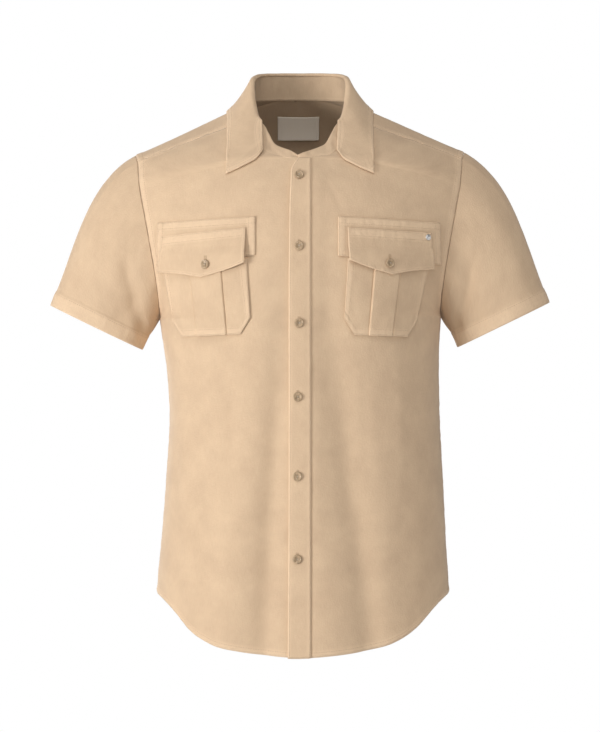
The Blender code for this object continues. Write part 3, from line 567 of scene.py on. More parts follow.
def twill_finish(name, tint, weave):
    """Washed twill: steep diagonal ribs, uneven yarn, faded patches, and paler rubbed edges."""
    finish, graph, shader = new_finish(name, {"Roughness": 0.88, "Specular IOR Level": 0.22,
                                              "Sheen Weight": 0.16, "Sheen Roughness": 0.45})
    flat = add_node(graph, "UVMap", {}, uv_map="cloth").outputs["UV"]
    slanted = add_node(graph, "Mapping", {"Rotation": (0, 0, math.radians(27)), "Vector": flat})
    ribs = add_node(graph, "TexWave", {"Scale": 0.314 / weave, "Distortion": 1.2, "Detail": 1,
                                       "Vector": slanted.outputs["Vector"]})
    stretched = add_node(graph, "Mapping", {"Scale": (1100, 90, 1), "Vector": flat})
    yarn = add_node(graph, "TexNoise", {"Scale": 1, "Detail": 3,
                                        "Vector": stretched.outputs["Vector"]})
    patches = add_node(graph, "TexNoise", {"Scale": 26, "Detail": 4, "Roughness": 0.6,
                                           "Vector": flat})
    grain = add_node(graph, "TexNoise", {"Scale": 420, "Detail": 3, "Vector": flat})
    shades = ramp(graph, patches.outputs["Fac"], toned(tint, (0.93, 0.92, 0.92)),
                  toned(tint, (1.05, 1.06, 1.06)), (0.30, 0.70))
    speckle = add_node(graph, "Mix", {"Factor": 0.10, 6: shades, 7: yarn.outputs["Fac"]},
                       data_type="RGBA", blend_type="OVERLAY")
    wear = add_node(graph, "Attribute", {}, attribute_name="worn")
    broken = add_node(graph, "Math", {0: wear.outputs["Fac"], 1: grain.outputs["Fac"]},
                      operation="MULTIPLY")
    paled = (min(tint[0] * 1.36, 1), tint[1] * 1.40, tint[2] * 1.45, 1)
    faded = add_node(graph, "Mix", {"Factor": broken.outputs["Value"], 6: speckle.outputs[2],
                                    7: paled}, data_type="RGBA")
    graph.links.new(faded.outputs[2], shader.inputs["Base Color"])
    relief = add_node(graph, "Math", {0: ribs.outputs["Fac"], 1: 0.6, 2: yarn.outputs["Fac"]},
                      operation="MULTIPLY_ADD")
    bump = add_node(graph, "Bump", {"Strength": 0.35, "Distance": 0.00018,
                                    "Height": relief.outputs["Value"]})
    crumple = add_node(graph, "Bump", {"Strength": 0.5, "Distance": 0.0006,
                                       "Height": grain.outputs["Fac"],
                                       "Normal": bump.outputs["Normal"]})
    graph.links.new(crumple.outputs["Normal"], shader.inputs["Normal"])
    return finish


TWILL_TINT = (0.66, 0.485, 0.325)
twill = twill_finish("washed_khaki_twill", TWILL_TINT, 0.0008)
# The inner faces get the same twill a fifth darker: painted shade for the dim inside of the shirt.
shaded_inner_twill = twill_finish("twill_inside_painted_shade", toned(TWILL_TINT, (0.80, 0.80, 0.80)), 0.0008)


def thread_finish(name, tint):
    """Matt cotton thread, with the two plies twisted round each other."""
    finish, graph, shader = new_finish(name, {"Roughness": 0.7})
    place = add_node(graph, "TexCoord", {}).outputs["Object"]
    plies = add_node(graph, "TexWave", {"Scale": 500, "Vector": place}, bands_direction="DIAGONAL")
    shades = ramp(graph, plies.outputs["Fac"], toned(tint, (0.85, 0.85, 0.85)),
                  toned(tint, (1.1, 1.1, 1.1)))
    graph.links.new(shades, shader.inputs["Base Color"])
    return finish


thread = thread_finish("khaki_thread", (0.50, 0.355, 0.225))
STITCH = {"length": 2.5, "pitch": 3.3, "thick": 0.26, "sunk": 0.02}


def row_from_edge(grid, out, edge, far):
    """A line on a grid of cloth at one distance from an edge, and the way that it faces."""
    view, facing = edge_first(grid, edge), edge_first(out, edge)
    run = spans(view)
    index = [np.interp(far, line, np.arange(len(line))) for line in run]
    line, ways = [], []
    for row, at in enumerate(index):
        low = min(int(at), view.shape[1] - 2)
        share = at - low
        line.append(view[row, low] * (1 - share) + view[row, low + 1] * share)
        ways.append(facing[row, low])
    return np.array(line), np.array(ways)


def stitch_shape():
    """One stitch as points and faces: a thread, round in section, that tapers at both ends."""
    mesh = bmesh.new()
    bmesh.ops.create_uvsphere(mesh, u_segments=5, v_segments=4, radius=1)
    mesh.verts.index_update()
    points = np.array([vert.co for vert in mesh.verts])
    faces = [[vert.index for vert in face.verts] for face in mesh.faces]
    mesh.free()
    return points, faces


STITCH_POINTS, STITCH_FACES = stitch_shape()


def threads(starts, ends, facing, thick):
    """Threads from start to end points on the cloth, as points in millimetres, thread by thread."""
    way = ends - starts
    half = np.linalg.norm(way, axis=1)[:, None, None] / 2
    way /= np.linalg.norm(way, axis=1)[:, None]
    side = np.cross(way, facing)
    side /= np.linalg.norm(side, axis=1)[:, None]
    up = np.cross(side, way)
    across, over, length = [STITCH_POINTS[None, :, axis:axis + 1] for axis in range(3)]
    return ((starts + ends)[:, None] / 2 + across * side[:, None] * thick
            + over * up[:, None] * thick * 0.8 + length * way[:, None] * half)


def sewn(line, ways, lift):
    """The threads of one row of stitches along a line."""
    run = lengths(line)
    starts = (np.arange(int(run[-1] / STITCH["pitch"])) + 0.12) * STITCH["pitch"]
    facing = np.stack([np.interp(starts, run, ways[:, axis]) for axis in range(3)], axis=1)
    begin, end = pick(line, starts), pick(line, starts + STITCH["length"])
    return threads(begin + facing * lift, end + facing * lift, facing, STITCH["thick"])


def thread_piece(name, bundles, finish):
    """Many threads as one joined mesh."""
    points = placed(np.concatenate(bundles)).reshape(-1, 3)
    faces = [[index + first for index in face]
             for first in range(0, len(points), len(STITCH_POINTS)) for face in STITCH_FACES]
    data = bpy.data.meshes.new(name)
    data.from_pydata(points.tolist(), [], faces)
    mesh = bmesh.new()
    mesh.from_mesh(data)
    bpy.data.meshes.remove(data)
    return finished(name, mesh, finish)


def sewn_rows(name, parts, lift, inside):
    """All of a piece's stitching, as one joined mesh."""
    bundles = []
    for grid, seams in parts:
        out = ways_out(grid, inside)
        bundles += [sewn(*row_from_edge(grid, out, edge, far), lift)
                    for edge, rows in seams for far in rows]
    return thread_piece(name + "_stitching", bundles, thread)


FRONT_LEVELS = np.concatenate((np.linspace(0, LOW_ROWS, 121),
                               np.linspace(LOW_ROWS, LOW_ROWS + EDGE_ROWS, 73)[1:],
                               np.linspace(LOW_ROWS + EDGE_ROWS, FRONT_ROWS, 29)[1:]))
FRONT_PARTS = (15, 9, 84)
TORSO = (0, 0, -400)
front_surfaces = []
front_grids = {}
for side, node in ((RIGHT, "front_right"), (LEFT, "front_left")):
    plain = front_grid(side, FRONT_LEVELS, FRONT_PARTS)
    seams = (("last_column", (8.5,)), ("first_row", (6.5,)), ("last_row", (1.6,)))
    grid = washed(plain, FRONT_FACE, TORSO, seams, 2 + side)
    front_grids[side] = grid
    front_surfaces.append(cloth_piece("cloth_" + node, node, [(grid, seams)], TORSO,
                                      twill))
    sewn_rows(node, [(grid, seams[:2])], STITCH["sunk"], TORSO)

# Back: one wide panel from the yoke seam to the shirttail hem, which falls lower than the
# fronts. It is cut on the same levels as they are, and topstitched in the same way.
BACK_UPPER_ROWS = 7
BACK_ROWS = LOW_ROWS + BACK_UPPER_ROWS
BACK_SEAM_Z = -80
BACK_ARMHOLE = table("x y z", (
    (189, 0, -280), (189, 27, -265), (192, 45, -234), (199, 54, -187), (207, 54, -140),
    (212, 48, -108), (214, 40, -88)))


def back_line(side, k):
    """The back's level k as a dense half row."""
    j = max(k - LOW_ROWS, 0)
    if k <= LOW_ROWS:
        row = lower_row(side, k / LOW_ROWS, BACK_FACE)
    else:
        share = j / BACK_UPPER_ROWS
        z = ARMPIT_Z + (BACK_SEAM_Z - ARMPIT_Z) * share
        start = np.array((0, smooth(BACK_LINE["z"], BACK_LINE["y"], z), z))
        row = upper_row(start, along(BACK_ARMHOLE, share), j)
    return raised(row, side, BACK_FACE, np.zeros(len(row)))


def back_half(side, levels, columns):
    """Points of one half of the back."""
    places = np.linspace(0, 1, columns + 1)
    lines = [back_line(side, k) for k in levels]
    return np.array([pick(line, places * lengths(line)[-1]) for line in lines]) * (side, 1, 1)


BACK_LEVELS = np.concatenate((np.linspace(0, LOW_ROWS, 121), np.linspace(LOW_ROWS, BACK_ROWS, 61)[1:]))
halves = [back_half(side, BACK_LEVELS, 84) for side in (RIGHT, LEFT)]
plain = np.concatenate([halves[0][:, :0:-1], halves[1]], axis=1)
seams = (("first_column", (8.5,)), ("last_column", (8.5,)), ("first_row", (6.5,)),
         ("last_row", (1.6,)))
grid = washed(plain, BACK_FACE, TORSO, seams, 11)
cloth_piece("cloth_back", "back", [(grid, seams)], TORSO, twill)
sewn_rows("back", [(grid, seams[:3])], STITCH["sunk"], TORSO)

# Yoke: one piece over both shoulders, from the front seams to the back seam, lapped over the
# panels and double stitched along its front and back edges.
YOKE_ROWS = 8
YOKE_NECK_ROWS = 5
BACK_NECK_Z = 21
YOKE_NECK = table("x y z", (
    (65.5, -26, -10), (67.5, -12, 1), (67.5, 6, 13.5), (63, 20, 17), (54, 32, 18.5),
    (30, 47, 20.5), (0, 52, 21)))
YOKE_ARMHOLE = table("x y z", (
    (218, -16, -68), (221, -2, -60), (222, 8, -58), (219.5, 24, -69), (214, 40, -88)))


def yoke_start(i):
    """Where the yoke's level i starts: on the neckline, then on the middle line of the back."""
    if i <= YOKE_NECK_ROWS:
        return along(YOKE_NECK, i / YOKE_NECK_ROWS)
    down = (i - YOKE_NECK_ROWS) / (YOKE_ROWS - YOKE_NECK_ROWS)
    z = BACK_NECK_Z + (BACK_SEAM_Z - BACK_NECK_Z) * down
    return np.array((0, smooth(BACK_LINE["z"], BACK_LINE["y"], z), z))


def yoke_half(side, levels, columns):
    """Points of one half of the yoke, from the front seam over the shoulder to the back seam."""
    grid = []
    for i in levels:
        share = i / YOKE_ROWS
        level = np.interp(share, (0, 1), (EDGE_ROWS + NECK_ROWS, BACK_UPPER_ROWS))
        crown = 1 + 0.55 * math.sin(math.pi * float(np.clip((share - 0.4) / 0.6, 0, 1)))
        line = upper_row(yoke_start(i), along(YOKE_ARMHOLE, share), level, crown)
        grid.append(pick(line, np.linspace(0, 1, columns + 1) * lengths(line)[-1]))
    return np.array(grid) * (side, 1, 1)


yoke_parts = []
SHOULDERS = (0, 0, -200)
for side in (RIGHT, LEFT):
    plain = yoke_half(side, np.linspace(0, YOKE_ROWS, 97), 84)
    seams = (("last_column", (8.5,)), ("first_row", (1.8, 7.5)), ("last_row", (1.8, 7.5)))
    grid = washed(plain, 9, SHOULDERS, seams, 21 + side, sway=0.35)
    grid[YOKE_NECK_ROWS * 12:, 0] = plain[YOKE_NECK_ROWS * 12:, 0]
    yoke_parts.append((grid, seams))
yoke_surface = cloth_piece("cloth_yoke", "yoke", yoke_parts, SHOULDERS,
                           twill)
sewn_rows("yoke", yoke_parts, STITCH["sunk"], SHOULDERS)

# Sleeves: two short sleeves set into the armholes, each one tube that widens from the armpit
# to the cuff, with a turned hem of 20 mm held by one row of stitches.
SLEEVE = {
    "outer": np.array((336, -4, -261.5)),
    "inner": np.array((213, -4, -321)),
    "half_depth": 45,
    "head_way": np.array((0.88, 0, -0.47)),
    "end_way": np.array((0.40, 0, -0.92)),
    "start_gap": 0.6,
    "hem": 20,
    "hem_step": 0.7,
}
SLEEVE_CREASES = table("side angle top bottom lean width depth", (
    (-1, 0.30, 0.25, 1.0, 0.10, 0.060, -2.2), (-1, 0.50, 0.10, 0.75, -0.08, 0.055, -1.3),
    (-1, 0.16, 0.45, 1.0, 0.02, 0.045, -1.6), (-1, 0.75, 0.20, 0.9, 0.05, 0.07, 0.9),
    (1, 0.28, 0.20, 1.0, 0.08, 0.060, -2.4), (1, 0.47, 0.05, 0.7, -0.10, 0.055, -1.4),
    (1, 0.15, 0.40, 1.0, 0.03, 0.045, -1.6), (1, 0.72, 0.20, 0.9, 0.04, 0.07, 0.9),
    (-1, 1.70, 0.25, 1.0, -0.10, 0.060, -2.2), (-1, 1.45, 0.10, 0.8, 0.08, 0.06, -1.4),
    (1, 1.72, 0.25, 1.0, -0.10, 0.060, -2.2), (1, 1.46, 0.10, 0.8, 0.08, 0.06, -1.4)))


def armhole_ring():
    """The armhole seam, from the armpit up the front, over the shoulder and down the back."""
    front = along(FRONT_ARMHOLE, np.linspace(0, 1, 91)[:-1])
    over = along(YOKE_ARMHOLE, np.linspace(0, 1, 29)[:-1])
    back = along(BACK_ARMHOLE, np.linspace(1, 0, 81))
    return np.concatenate([front, over, back])


def sleeve_grid(side, ring, rows):
    """Points of a sleeve, ring after ring from the armhole to the hem, closed on itself."""
    turn = lengths(ring) / lengths(ring)[-1]
    top = turn[np.argmax(ring[:, 2])]
    angle = math.pi * np.interp(turn, (0, top, 1), (0, 1, 2))
    centre = (SLEEVE["outer"] + SLEEVE["inner"]) / 2
    reach = (SLEEVE["outer"] - SLEEVE["inner"]) / 2
    cuff = centre - np.cos(angle)[:, None] * reach
    cuff[:, 1] -= np.sin(angle) * SLEEVE["half_depth"]
    chord = cuff - ring
    length = np.linalg.norm(chord, axis=1)
    straight = chord / length[:, None]
    upper = ease((1 - np.cos(angle)) / 2)[:, None]
    start_way = straight * (1 - upper) + SLEEVE["head_way"] * upper
    end_way = straight * (1 - upper) + SLEEVE["end_way"] * upper
    begin = ring + straight * SLEEVE["start_gap"]
    handle = length[:, None] / 3
    rings = []
    for t in np.linspace(0, 1, rows):
        points = (begin * (1 - t) ** 3 + 3 * (begin + start_way * handle) * t * (1 - t) ** 2
                  + 3 * (cuff - end_way * handle) * t * t * (1 - t) + cuff * t ** 3)
        out = points - points.mean(axis=0)
        out /= np.linalg.norm(out, axis=1)[:, None]
        dent = fold_height(SLEEVE_FACE, side * points[:, 0], points[:, 2]) * ease(t * 4)
        for crease in rows_where(SLEEVE_CREASES, "side", side):
            down = (t - crease["top"]) / (crease["bottom"] - crease["top"])
            off = angle / math.pi - crease["angle"] - crease["lean"] * down
            fall = math.sin(math.pi * float(np.clip(down, 0, 1)) ** 0.8)
            dent = dent + crease["depth"] * fall * np.exp(-(off / crease["width"]) ** 2)
        far = (1 - t) * length
        step = SLEEVE["hem_step"] * (1 - ease((far - SLEEVE["hem"]) / 1.2))
        rings.append(points + out * (dent + step)[:, None])
    return np.array(rings) * (side, 1, 1)


for side, node in ((RIGHT, "sleeve_right"), (LEFT, "sleeve_left")):
    plain = sleeve_grid(side, armhole_ring(), 96)
    middle = plain.mean(axis=(0, 1))
    seams = (("last_row", (17.5,)),)
    grid = washed(plain, SLEEVE_FACE, middle, seams, 31 + side, sway=0.8)
    grid[:, -1] = grid[:, 0]
    cloth_piece("cloth_" + node, node, [(grid, seams)], middle, twill)
    sewn_rows(node, [(grid, seams)], STITCH["sunk"], middle)

# Placket: a folded strip 28 mm wide on top of the left front's edge, from the neck to the hem,
# stitched down both of its sides.
PLACKET_LIE = 0.55


def laid_piece(node, plain, seams, inside, press, seed, waves=None):
    """A piece sewn on top of others, pressed at its seams, a little wavy, stitched all round."""
    height = press * sewn_height(plain, seams, seed)
    if waves:
        depth, size, wave_seed = waves
        height = height + depth * wander(plain, size, wave_seed)
    grid = plain + ways_out(plain, inside) * height[..., None]
    surface = cloth_piece("cloth_" + node, node, [(grid, seams)], inside, twill,
                          outward=True)
    sewn_rows(node, [(grid, seams)], WALL + STITCH["sunk"], inside)
    return surface


top_row = int(np.argmin(np.abs(FRONT_LEVELS - (LOW_ROWS + EDGE_ROWS))))
plain = front_grids[LEFT][:top_row + 1, :FRONT_PARTS[0]].copy()
plain[:, :, 1] -= PLACKET_LIE
seams = (("first_column", (2.2,)), ("last_column", (2.0,)))
placket_surface = laid_piece("placket", plain, seams, TORSO, 0.7, 41,
                             (0.25, (14, 14, 30), 43))

# Collar stand: the band round the neck, sewn to the neckline and rising to the fold of the
# leaf. Its inner face shows inside the collar.
RIM = table("x y z", (
    (5.0, -81, -62.5), (12.7, -77, -57.4), (24, -71, -53), (32.4, -65, -48.5), (41, -55, -34),
    (47.6, -45, -21.6), (54, -36, -14), (59, -26, 0), (62.5, -12, 20), (63, 5, 42),
    (58, 22, 49), (50, 36, 52), (30, 50, 54), (0, 56, 54.5)))
RIM_START = {RIGHT: np.array(((1.9, -80.5, -64.2), (5.0, -80.5, -62.3))),
             LEFT: np.array(((-3.2, -82.2, -63.7), (5.0, -81.4, -60.2)))}
STAND_END_X = {RIGHT: 1.9, LEFT: -2.0}
STAND_ROWS = 15
COLLAR_COLUMNS = 150


def stand_seam(side):
    """The neck seam of one half, from the front end to the middle of the back."""
    front = np.array([neck_point(side, share) for share in np.linspace(0, 1, 61)])
    start = np.interp(STAND_END_X[side], front[:, 0], range(len(front)))
    end = np.stack([np.interp(start, range(len(front)), front[:, axis]) for axis in range(3)])
    over = along(YOKE_NECK, np.linspace(0, 1, 81)[1:])
    return np.concatenate([end[None], front[math.floor(start) + 1:], over])


def evened(grid, share, times=50):
    """A grid across both halves with its middle columns smoothed into one curve."""
    columns = grid.shape[1]
    middle = 1 - np.abs(np.linspace(-1, 1, columns))
    weight = ease((middle - share) / 0.12)[None, :, None]
    result = grid.copy()
    for _ in range(times):
        mean = (result[:, :-2] + 2 * result[:, 1:-1] + result[:, 2:]) / 4
        result[:, 1:-1] += (mean - result[:, 1:-1]) * weight[:, 1:-1]
    return result


NECK = (0, 0, 0)
collar_shares = np.linspace(0, 1, COLLAR_COLUMNS)
halves = []
for side in (RIGHT, LEFT):
    line = stand_seam(side)
    seam = pick(line, collar_shares * lengths(line)[-1])
    rim_path = {axis: np.concatenate((starts, RIM[axis][1:]))
                for axis, starts in zip("xyz", RIM_START[side].T)}
    rim = along(rim_path, collar_shares)
    levels = []
    inward = -seam * (1, 1, 0) / np.linalg.norm(seam[:, :2], axis=1)[:, None]
    lean = (0.5 - 2.0 * ease((-seam[:, 1] - 30) / 25))[:, None]
    for share in np.linspace(0, 1, STAND_ROWS):
        row = seam + (rim - seam) * share + (inward * lean - (0, 0, 1.6)) * (1 - share) ** 3
        levels.append(row * (side, 1, 1))
    halves.append(np.array(levels))
plain = evened(np.concatenate([halves[0], halves[1][:, -2::-1]], axis=1), 0.7)
seams = (("first_row", (1.8,)), ("first_column", (1.8,)), ("last_column", (1.8,)))
puckers = 1.3 * wander(plain, (9, 9, 16), 51)
puckers *= np.sin(np.linspace(0, math.pi, STAND_ROWS))[:, None]
grid = plain + ways_out(plain, NECK) * puckers[..., None]
stand_surface = cloth_piece("cloth_collar_stand", "collar_stand", [(grid, seams)],
                            NECK, twill)
sewn_rows("collar_stand", [(grid, [("first_row", (2.0,))])], -WALL - STITCH["sunk"], NECK)

# Collar leaf: the turned-down collar. It rolls over the stand's upper edge and falls onto the
# shoulders, its points lie on the fronts, and two rows of stitches follow its outer edge.
LEAF = table("rim x y z", (
    (0.32, 49, -68, -57), (0.335, 57, -80, -68), (0.355, 70, -91, -76), (0.375, 84, -97, -83),
    (0.40, 98, -96, -89), (0.415, 98, -87, -75), (0.43, 98, -76, -60), (0.48, 98, -46, -32),
    (0.55, 98.5, -16, -10), (0.63, 97.5, 10, 0), (0.71, 90, 34, 3), (0.80, 70, 54, 4),
    (0.90, 36, 68, 4), (1.00, 0, 73, 4)))
LEAF_POINT = 4
LEAF_REST = 2.0
LEAF_BULGE = 1.0
LEAF_ROLL = ((-1.5, -0.9), (-1.45, 0.4), (-0.9, 1.4), (0.2, 2.0), (1.8, 2.1), (3.6, 1.5))
LEAF_PARTS = (26, 110)
LEAF_ROWS = 26
LEAF_SETTLINGS = 12
LEAF_EVENINGS = 25
LEAF_INSIDE = (0, 0, -20)


def leaf_edge(shares, axis):
    """The leaf's outer edge, smooth on both sides of its point."""
    rim, values = LEAF["rim"], LEAF[axis]
    front = smooth(rim[:LEAF_POINT + 1], values[:LEAF_POINT + 1], shares)
    rest = smooth(rim[LEAF_POINT:], values[LEAF_POINT:], shares)
    return np.where(shares <= rim[LEAF_POINT], front, rest)


def unlifted(points):
    """Undo the shoulder's lift on points that were read from the placed surface."""
    points = np.array(points, float)
    points[..., 2] -= shoulder_lift(points)
    return points


def in_millimetres(place):
    """A point of a placed surface, back in millimetres and without the shoulder's lift."""
    return unlifted(np.array(place) / MM)


def clear_of(trees, point, room):
    """A point moved out until it is clear of the surfaces below it."""
    place = Vector(placed(point))
    for tree in trees:
        hit, normal, _, _ = tree.find_nearest(place)
        short = room * MM - (place - hit).dot(normal)
        if short > 0:
            place = place + normal * short
    return in_millimetres(place)


below = look_up(front_surfaces + [yoke_surface])
beside = look_up([stand_surface])
shares = np.concatenate((np.linspace(LEAF["rim"][0], LEAF["rim"][LEAF_POINT], LEAF_PARTS[0]),
                         np.linspace(LEAF["rim"][LEAF_POINT], 1, LEAF_PARTS[1])[1:]))
halves = []
for side in (RIGHT, LEFT):
    fold = along(RIM, shares)
    edge = np.stack([leaf_edge(shares, axis) for axis in "xyz"], axis=1)
    way = (edge - fold) * (1, 1, 0)
    way /= np.linalg.norm(way, axis=1)[:, None]
    rows = [fold + way * over + np.array((0, 0, 1)) * up for over, up in LEAF_ROLL]
    rolled = fold + way * 5.5 + (0, 0, 0.3)
    for share in np.linspace(0, 1, LEAF_ROWS):
        row = rolled + (edge - rolled) * share
        row = row + (way * 0.7 + (0, 0, 0.7)) * LEAF_BULGE * math.sin(math.pi * share)
        rows.append(row)
    grid = np.array(rows) * (side, 1, 1)
    first = len(LEAF_ROLL)
    for column, point in enumerate(grid[-1]):
        hit, normal, _, _ = below.find_nearest(Vector(placed(point)))
        rest = in_millimetres(hit + normal * LEAF_REST * MM)
        flat = ease((-45 - point[2]) / 15)
        if flat > 0:
            start = Vector(placed(point * (1, 0, 1) - (0, 400, 0)))
            hit, normal, _, _ = below.ray_cast(start, Vector((0, 1, 0)))
            in_front = point * (1, 0, 1) + (0, hit.y / MM + LEAF_REST / normal.y, 0)
            rest = rest * (1 - flat) + in_front * flat
        grid[-1, column] = rest
    near = grid[first:-1]
    for _ in range(LEAF_SETTLINGS):
        for _ in range(LEAF_EVENINGS):
            mean = (grid[first - 1:-2] + grid[first + 1:]) / 4
            mean[:, 1:-1] += (near[:, :-2] + near[:, 2:]) / 4
            mean[:, (0, -1)] *= 2
            near[:] = mean
        for place in np.ndindex(near.shape[:2]):
            near[place] = clear_of([beside, below], near[place], LEAF_REST - 0.8)
    halves.append(grid)
plain = evened(np.concatenate([halves[0], halves[1][:, -2::-1]], axis=1), 0.75)
seams = [(edge, (4.2, 9.0)) for edge in ("last_row", "first_column", "last_column")]
laid_piece("collar_leaf", plain, seams, LEAF_INSIDE, 0.45, 61,
           (0.35, (16, 16, 16), 63))

# Chest pieces: on each front a flat patch behind the flap, a pocket with a box pleat and cut-off
# corners, and a pointed flap over both. All are cut from the same twill and lie on the front.
PATCHES = {
    RIGHT: {"x_in": (58.5, 58.5), "x_out": (188.5, 190.5), "top": (-147, -153),
            "bottom": (-198, -209)},
    LEFT: {"x_in": (50, 50), "x_out": (185.5, 187), "top": (-147, -153), "bottom": (-199, -208.5)},
}
FLAPS = {
    RIGHT: {"x_in": (71, 71), "x_out": (182.5, 185.5), "top": (-162, -171), "side": (-209, -218),
            "point": -226.5, "lift": 4.0},
    LEFT: {"x_in": (62, 63.5), "x_out": (172.5, 174.5), "top": (-162, -167), "side": (-205, -214),
           "point": -223, "lift": 2.0},
}
POCKETS = {
    RIGHT: {"x_in": (70, 64.5), "x_out": (182, 167), "top": (-201, -212), "bottom": (-301, -305),
            "pleat": (0.31, 0.66)},
    LEFT: {"x_in": (62.5, 58), "x_out": (169.5, 153), "top": (-202, -211), "bottom": (-302, -305),
           "pleat": (0.34, 0.64)},
}
PATCH_LIE = 0.45
POCKET_LIE = 1.15
PLEAT_RISE = 2.1
POCKET_CHAMFER = {"across": 13, "up": 21}
PATCH_GRID = (41, 91)
POCKET_GRID = (61, 85)
FLAP_GRID = (51, 91)
CHEST = (0, 0, -200)


def seat(tree, x, z):
    """The outermost cloth at a place in the front view, and the way it faces."""
    hit, normal, _, _ = tree.ray_cast(Vector((x, -400, z)) * MM, Vector((0, 1, 0)))
    return np.array(hit) / MM, np.array(normal)


def seated_grid(xs, zs, outs, tree):
    """A grid of points on the cloth below, moved out from it."""
    grid = np.zeros(xs.shape + (3,))
    for place in np.ndindex(xs.shape):
        point, normal = seat(tree, xs[place], zs[place])
        grid[place] = point + normal * outs[place]
    return unlifted(grid)


def slanting(ends, shares):
    """Values that run evenly from the first end to the second."""
    return ends[0] + (ends[1] - ends[0]) * shares


def across_rows(spec, side, bottom, columns, rows):
    """x and z of a four-cornered piece, row by row, from its inner to its outer edge."""
    down = np.linspace(0, 1, rows)[:, None]
    over = columns[None, :]
    inner, outer = slanting(spec["x_in"], down), slanting(spec["x_out"], down)
    upper = slanting(spec["top"], over)
    return side * (inner + (outer - inner) * over), upper + (bottom[None, :] - upper) * down


fronts = look_up(front_surfaces)
for side, word in ((RIGHT, "right"), (LEFT, "left")):
    spec = PATCHES[side]
    columns = np.linspace(0, 1, PATCH_GRID[1])
    x, z = across_rows(spec, side, slanting(spec["bottom"], columns), columns, PATCH_GRID[0])
    plain = seated_grid(x, z, np.full(x.shape, PATCH_LIE), fronts)
    seams = (("first_row", (1.6, 9.0)), ("first_column", (1.6, 9.0)), ("last_column", (1.6, 9.0)),
             ("last_row", (1.6,)))
    laid_piece("patch_" + word, plain, seams, CHEST, 0.8, 71 + side)

    spec = POCKETS[side]
    first, last = spec["pleat"]
    columns = np.unique(np.concatenate((np.linspace(0, 1, POCKET_GRID[1]),
                                        first + np.linspace(-0.02, 0.012, 9),
                                        last + np.linspace(-0.012, 0.02, 9))))
    width = spec["x_out"][1] - spec["x_in"][1]
    corner = np.minimum(columns, 1 - columns) * width
    cut = np.maximum(1 - corner / POCKET_CHAMFER["across"], 0) * POCKET_CHAMFER["up"]
    bottom = slanting(spec["bottom"], columns) + cut
    x, z = across_rows(spec, side, bottom, columns, POCKET_GRID[0])
    rise = ease((columns - first + 0.006) / 0.008) * (1 - ease((columns - last - 0.006 + 0.008) / 0.008))
    groove = (np.exp(-((columns - first + 0.012) / 0.006) ** 2)
              + np.exp(-((columns - last - 0.012) / 0.006) ** 2))
    profile = POCKET_LIE + PLEAT_RISE * rise - 0.7 * groove
    plain = seated_grid(x, z, np.repeat(profile[None, :], POCKET_GRID[0], axis=0), fronts)
    seams = [(edge, (1.6, 8.0)) for edge in ("first_column", "last_column", "last_row")]
    laid_piece("pocket_" + word, plain, seams, CHEST, 0.85, 75 + side,
               (0.3, (14, 14, 26), 77))

flap_trees = {}
for side, word in ((RIGHT, "right"), (LEFT, "left")):
    spec = FLAPS[side]
    columns = np.linspace(0, 1, FLAP_GRID[1])
    sides = slanting(spec["side"], columns)
    bottom = sides + (spec["point"] - sides) * (1 - np.abs(2 * columns - 1))
    x, z = across_rows(spec, side, bottom, columns, FLAP_GRID[0])
    down = np.linspace(0, 1, FLAP_GRID[0])[:, None]
    over_patch = PATCH_LIE + WALL + 0.6
    over_pocket = POCKET_LIE + PLEAT_RISE + WALL + 0.7
    base = over_patch + (over_pocket - over_patch) * ease((-z - 185) / 14)
    lift = spec["lift"] * ease(1 - columns[None, :] / 0.25) * ease(down * 1.6)
    plain = seated_grid(x, z, base + lift, fronts)
    seams = (("first_row", (1.8, 10.5)), ("first_column", (2.4,)), ("last_column", (2.4,)),
             ("last_row", (2.4,)))
    flap_trees[side] = look_up([laid_piece("flap_" + word, plain, seams, CHEST,
                                           0.8, 81 + side, (0.3, (16, 16, 16), 83))])

# Buttons: six down the placket and one on each flap, tan resin with a raised rim and four
# holes, sewn on with a cross of pale thread. Each sits over a worked, upright buttonhole.
BUTTON = {"lie": 0.3, "hole": 0.62, "hole_out": 1.15, "floor": 1.55}
HOLE_TURNS = [math.pi * (turn / 2 + 0.25) for turn in range(4)]
BUTTONHOLE = {"half": 7.2, "stitches": 27, "slit": 0.25, "reach": 1.75}
BUTTON_PLACES = ((-0.9, -92), (-1.0, -186), (-1.0, -287), (-2.5, -383), (-2.9, -487), (-3.4, -595))
FLAP_BUTTONS = {RIGHT: (-124, -209.5), LEFT: (117.5, -208)}
BUTTON_PROFILE = ((0, 1.55), (3.1, 1.55), (3.7, 1.75), (4.15, 2.3), (4.7, 2.55), (5.3, 2.45),
                  (5.85, 1.95), (6.1, 1.3), (5.9, 0.7), (5.2, 0.25), (4.2, 0.02), (0, 0))


def turned(profile, segments):
    """A turned shape: a profile of radius and height, spun about its own upright axis."""
    mesh = bmesh.new()
    verts = [mesh.verts.new((radius * MM, 0, height * MM)) for radius, height in profile]
    for first, second in zip(verts, verts[1:]):
        mesh.edges.new((first, second))
    bmesh.ops.spin(mesh, geom=list(mesh.verts) + list(mesh.edges), cent=(0, 0, 0), axis=(0, 0, 1),
                   angle=2 * math.pi, steps=segments, use_merge=True)
    bmesh.ops.remove_doubles(mesh, verts=mesh.verts, dist=0.000001)
    bmesh.ops.recalc_face_normals(mesh, faces=mesh.faces)
    return mesh


def loose(name, mesh):
    """An object that only lends its shape, linked to the scene for a while."""
    data = bpy.data.meshes.new(name)
    mesh.to_mesh(data)
    mesh.free()
    shape = bpy.data.objects.new(name, data)
    bpy.context.scene.collection.objects.link(shape)
    return shape


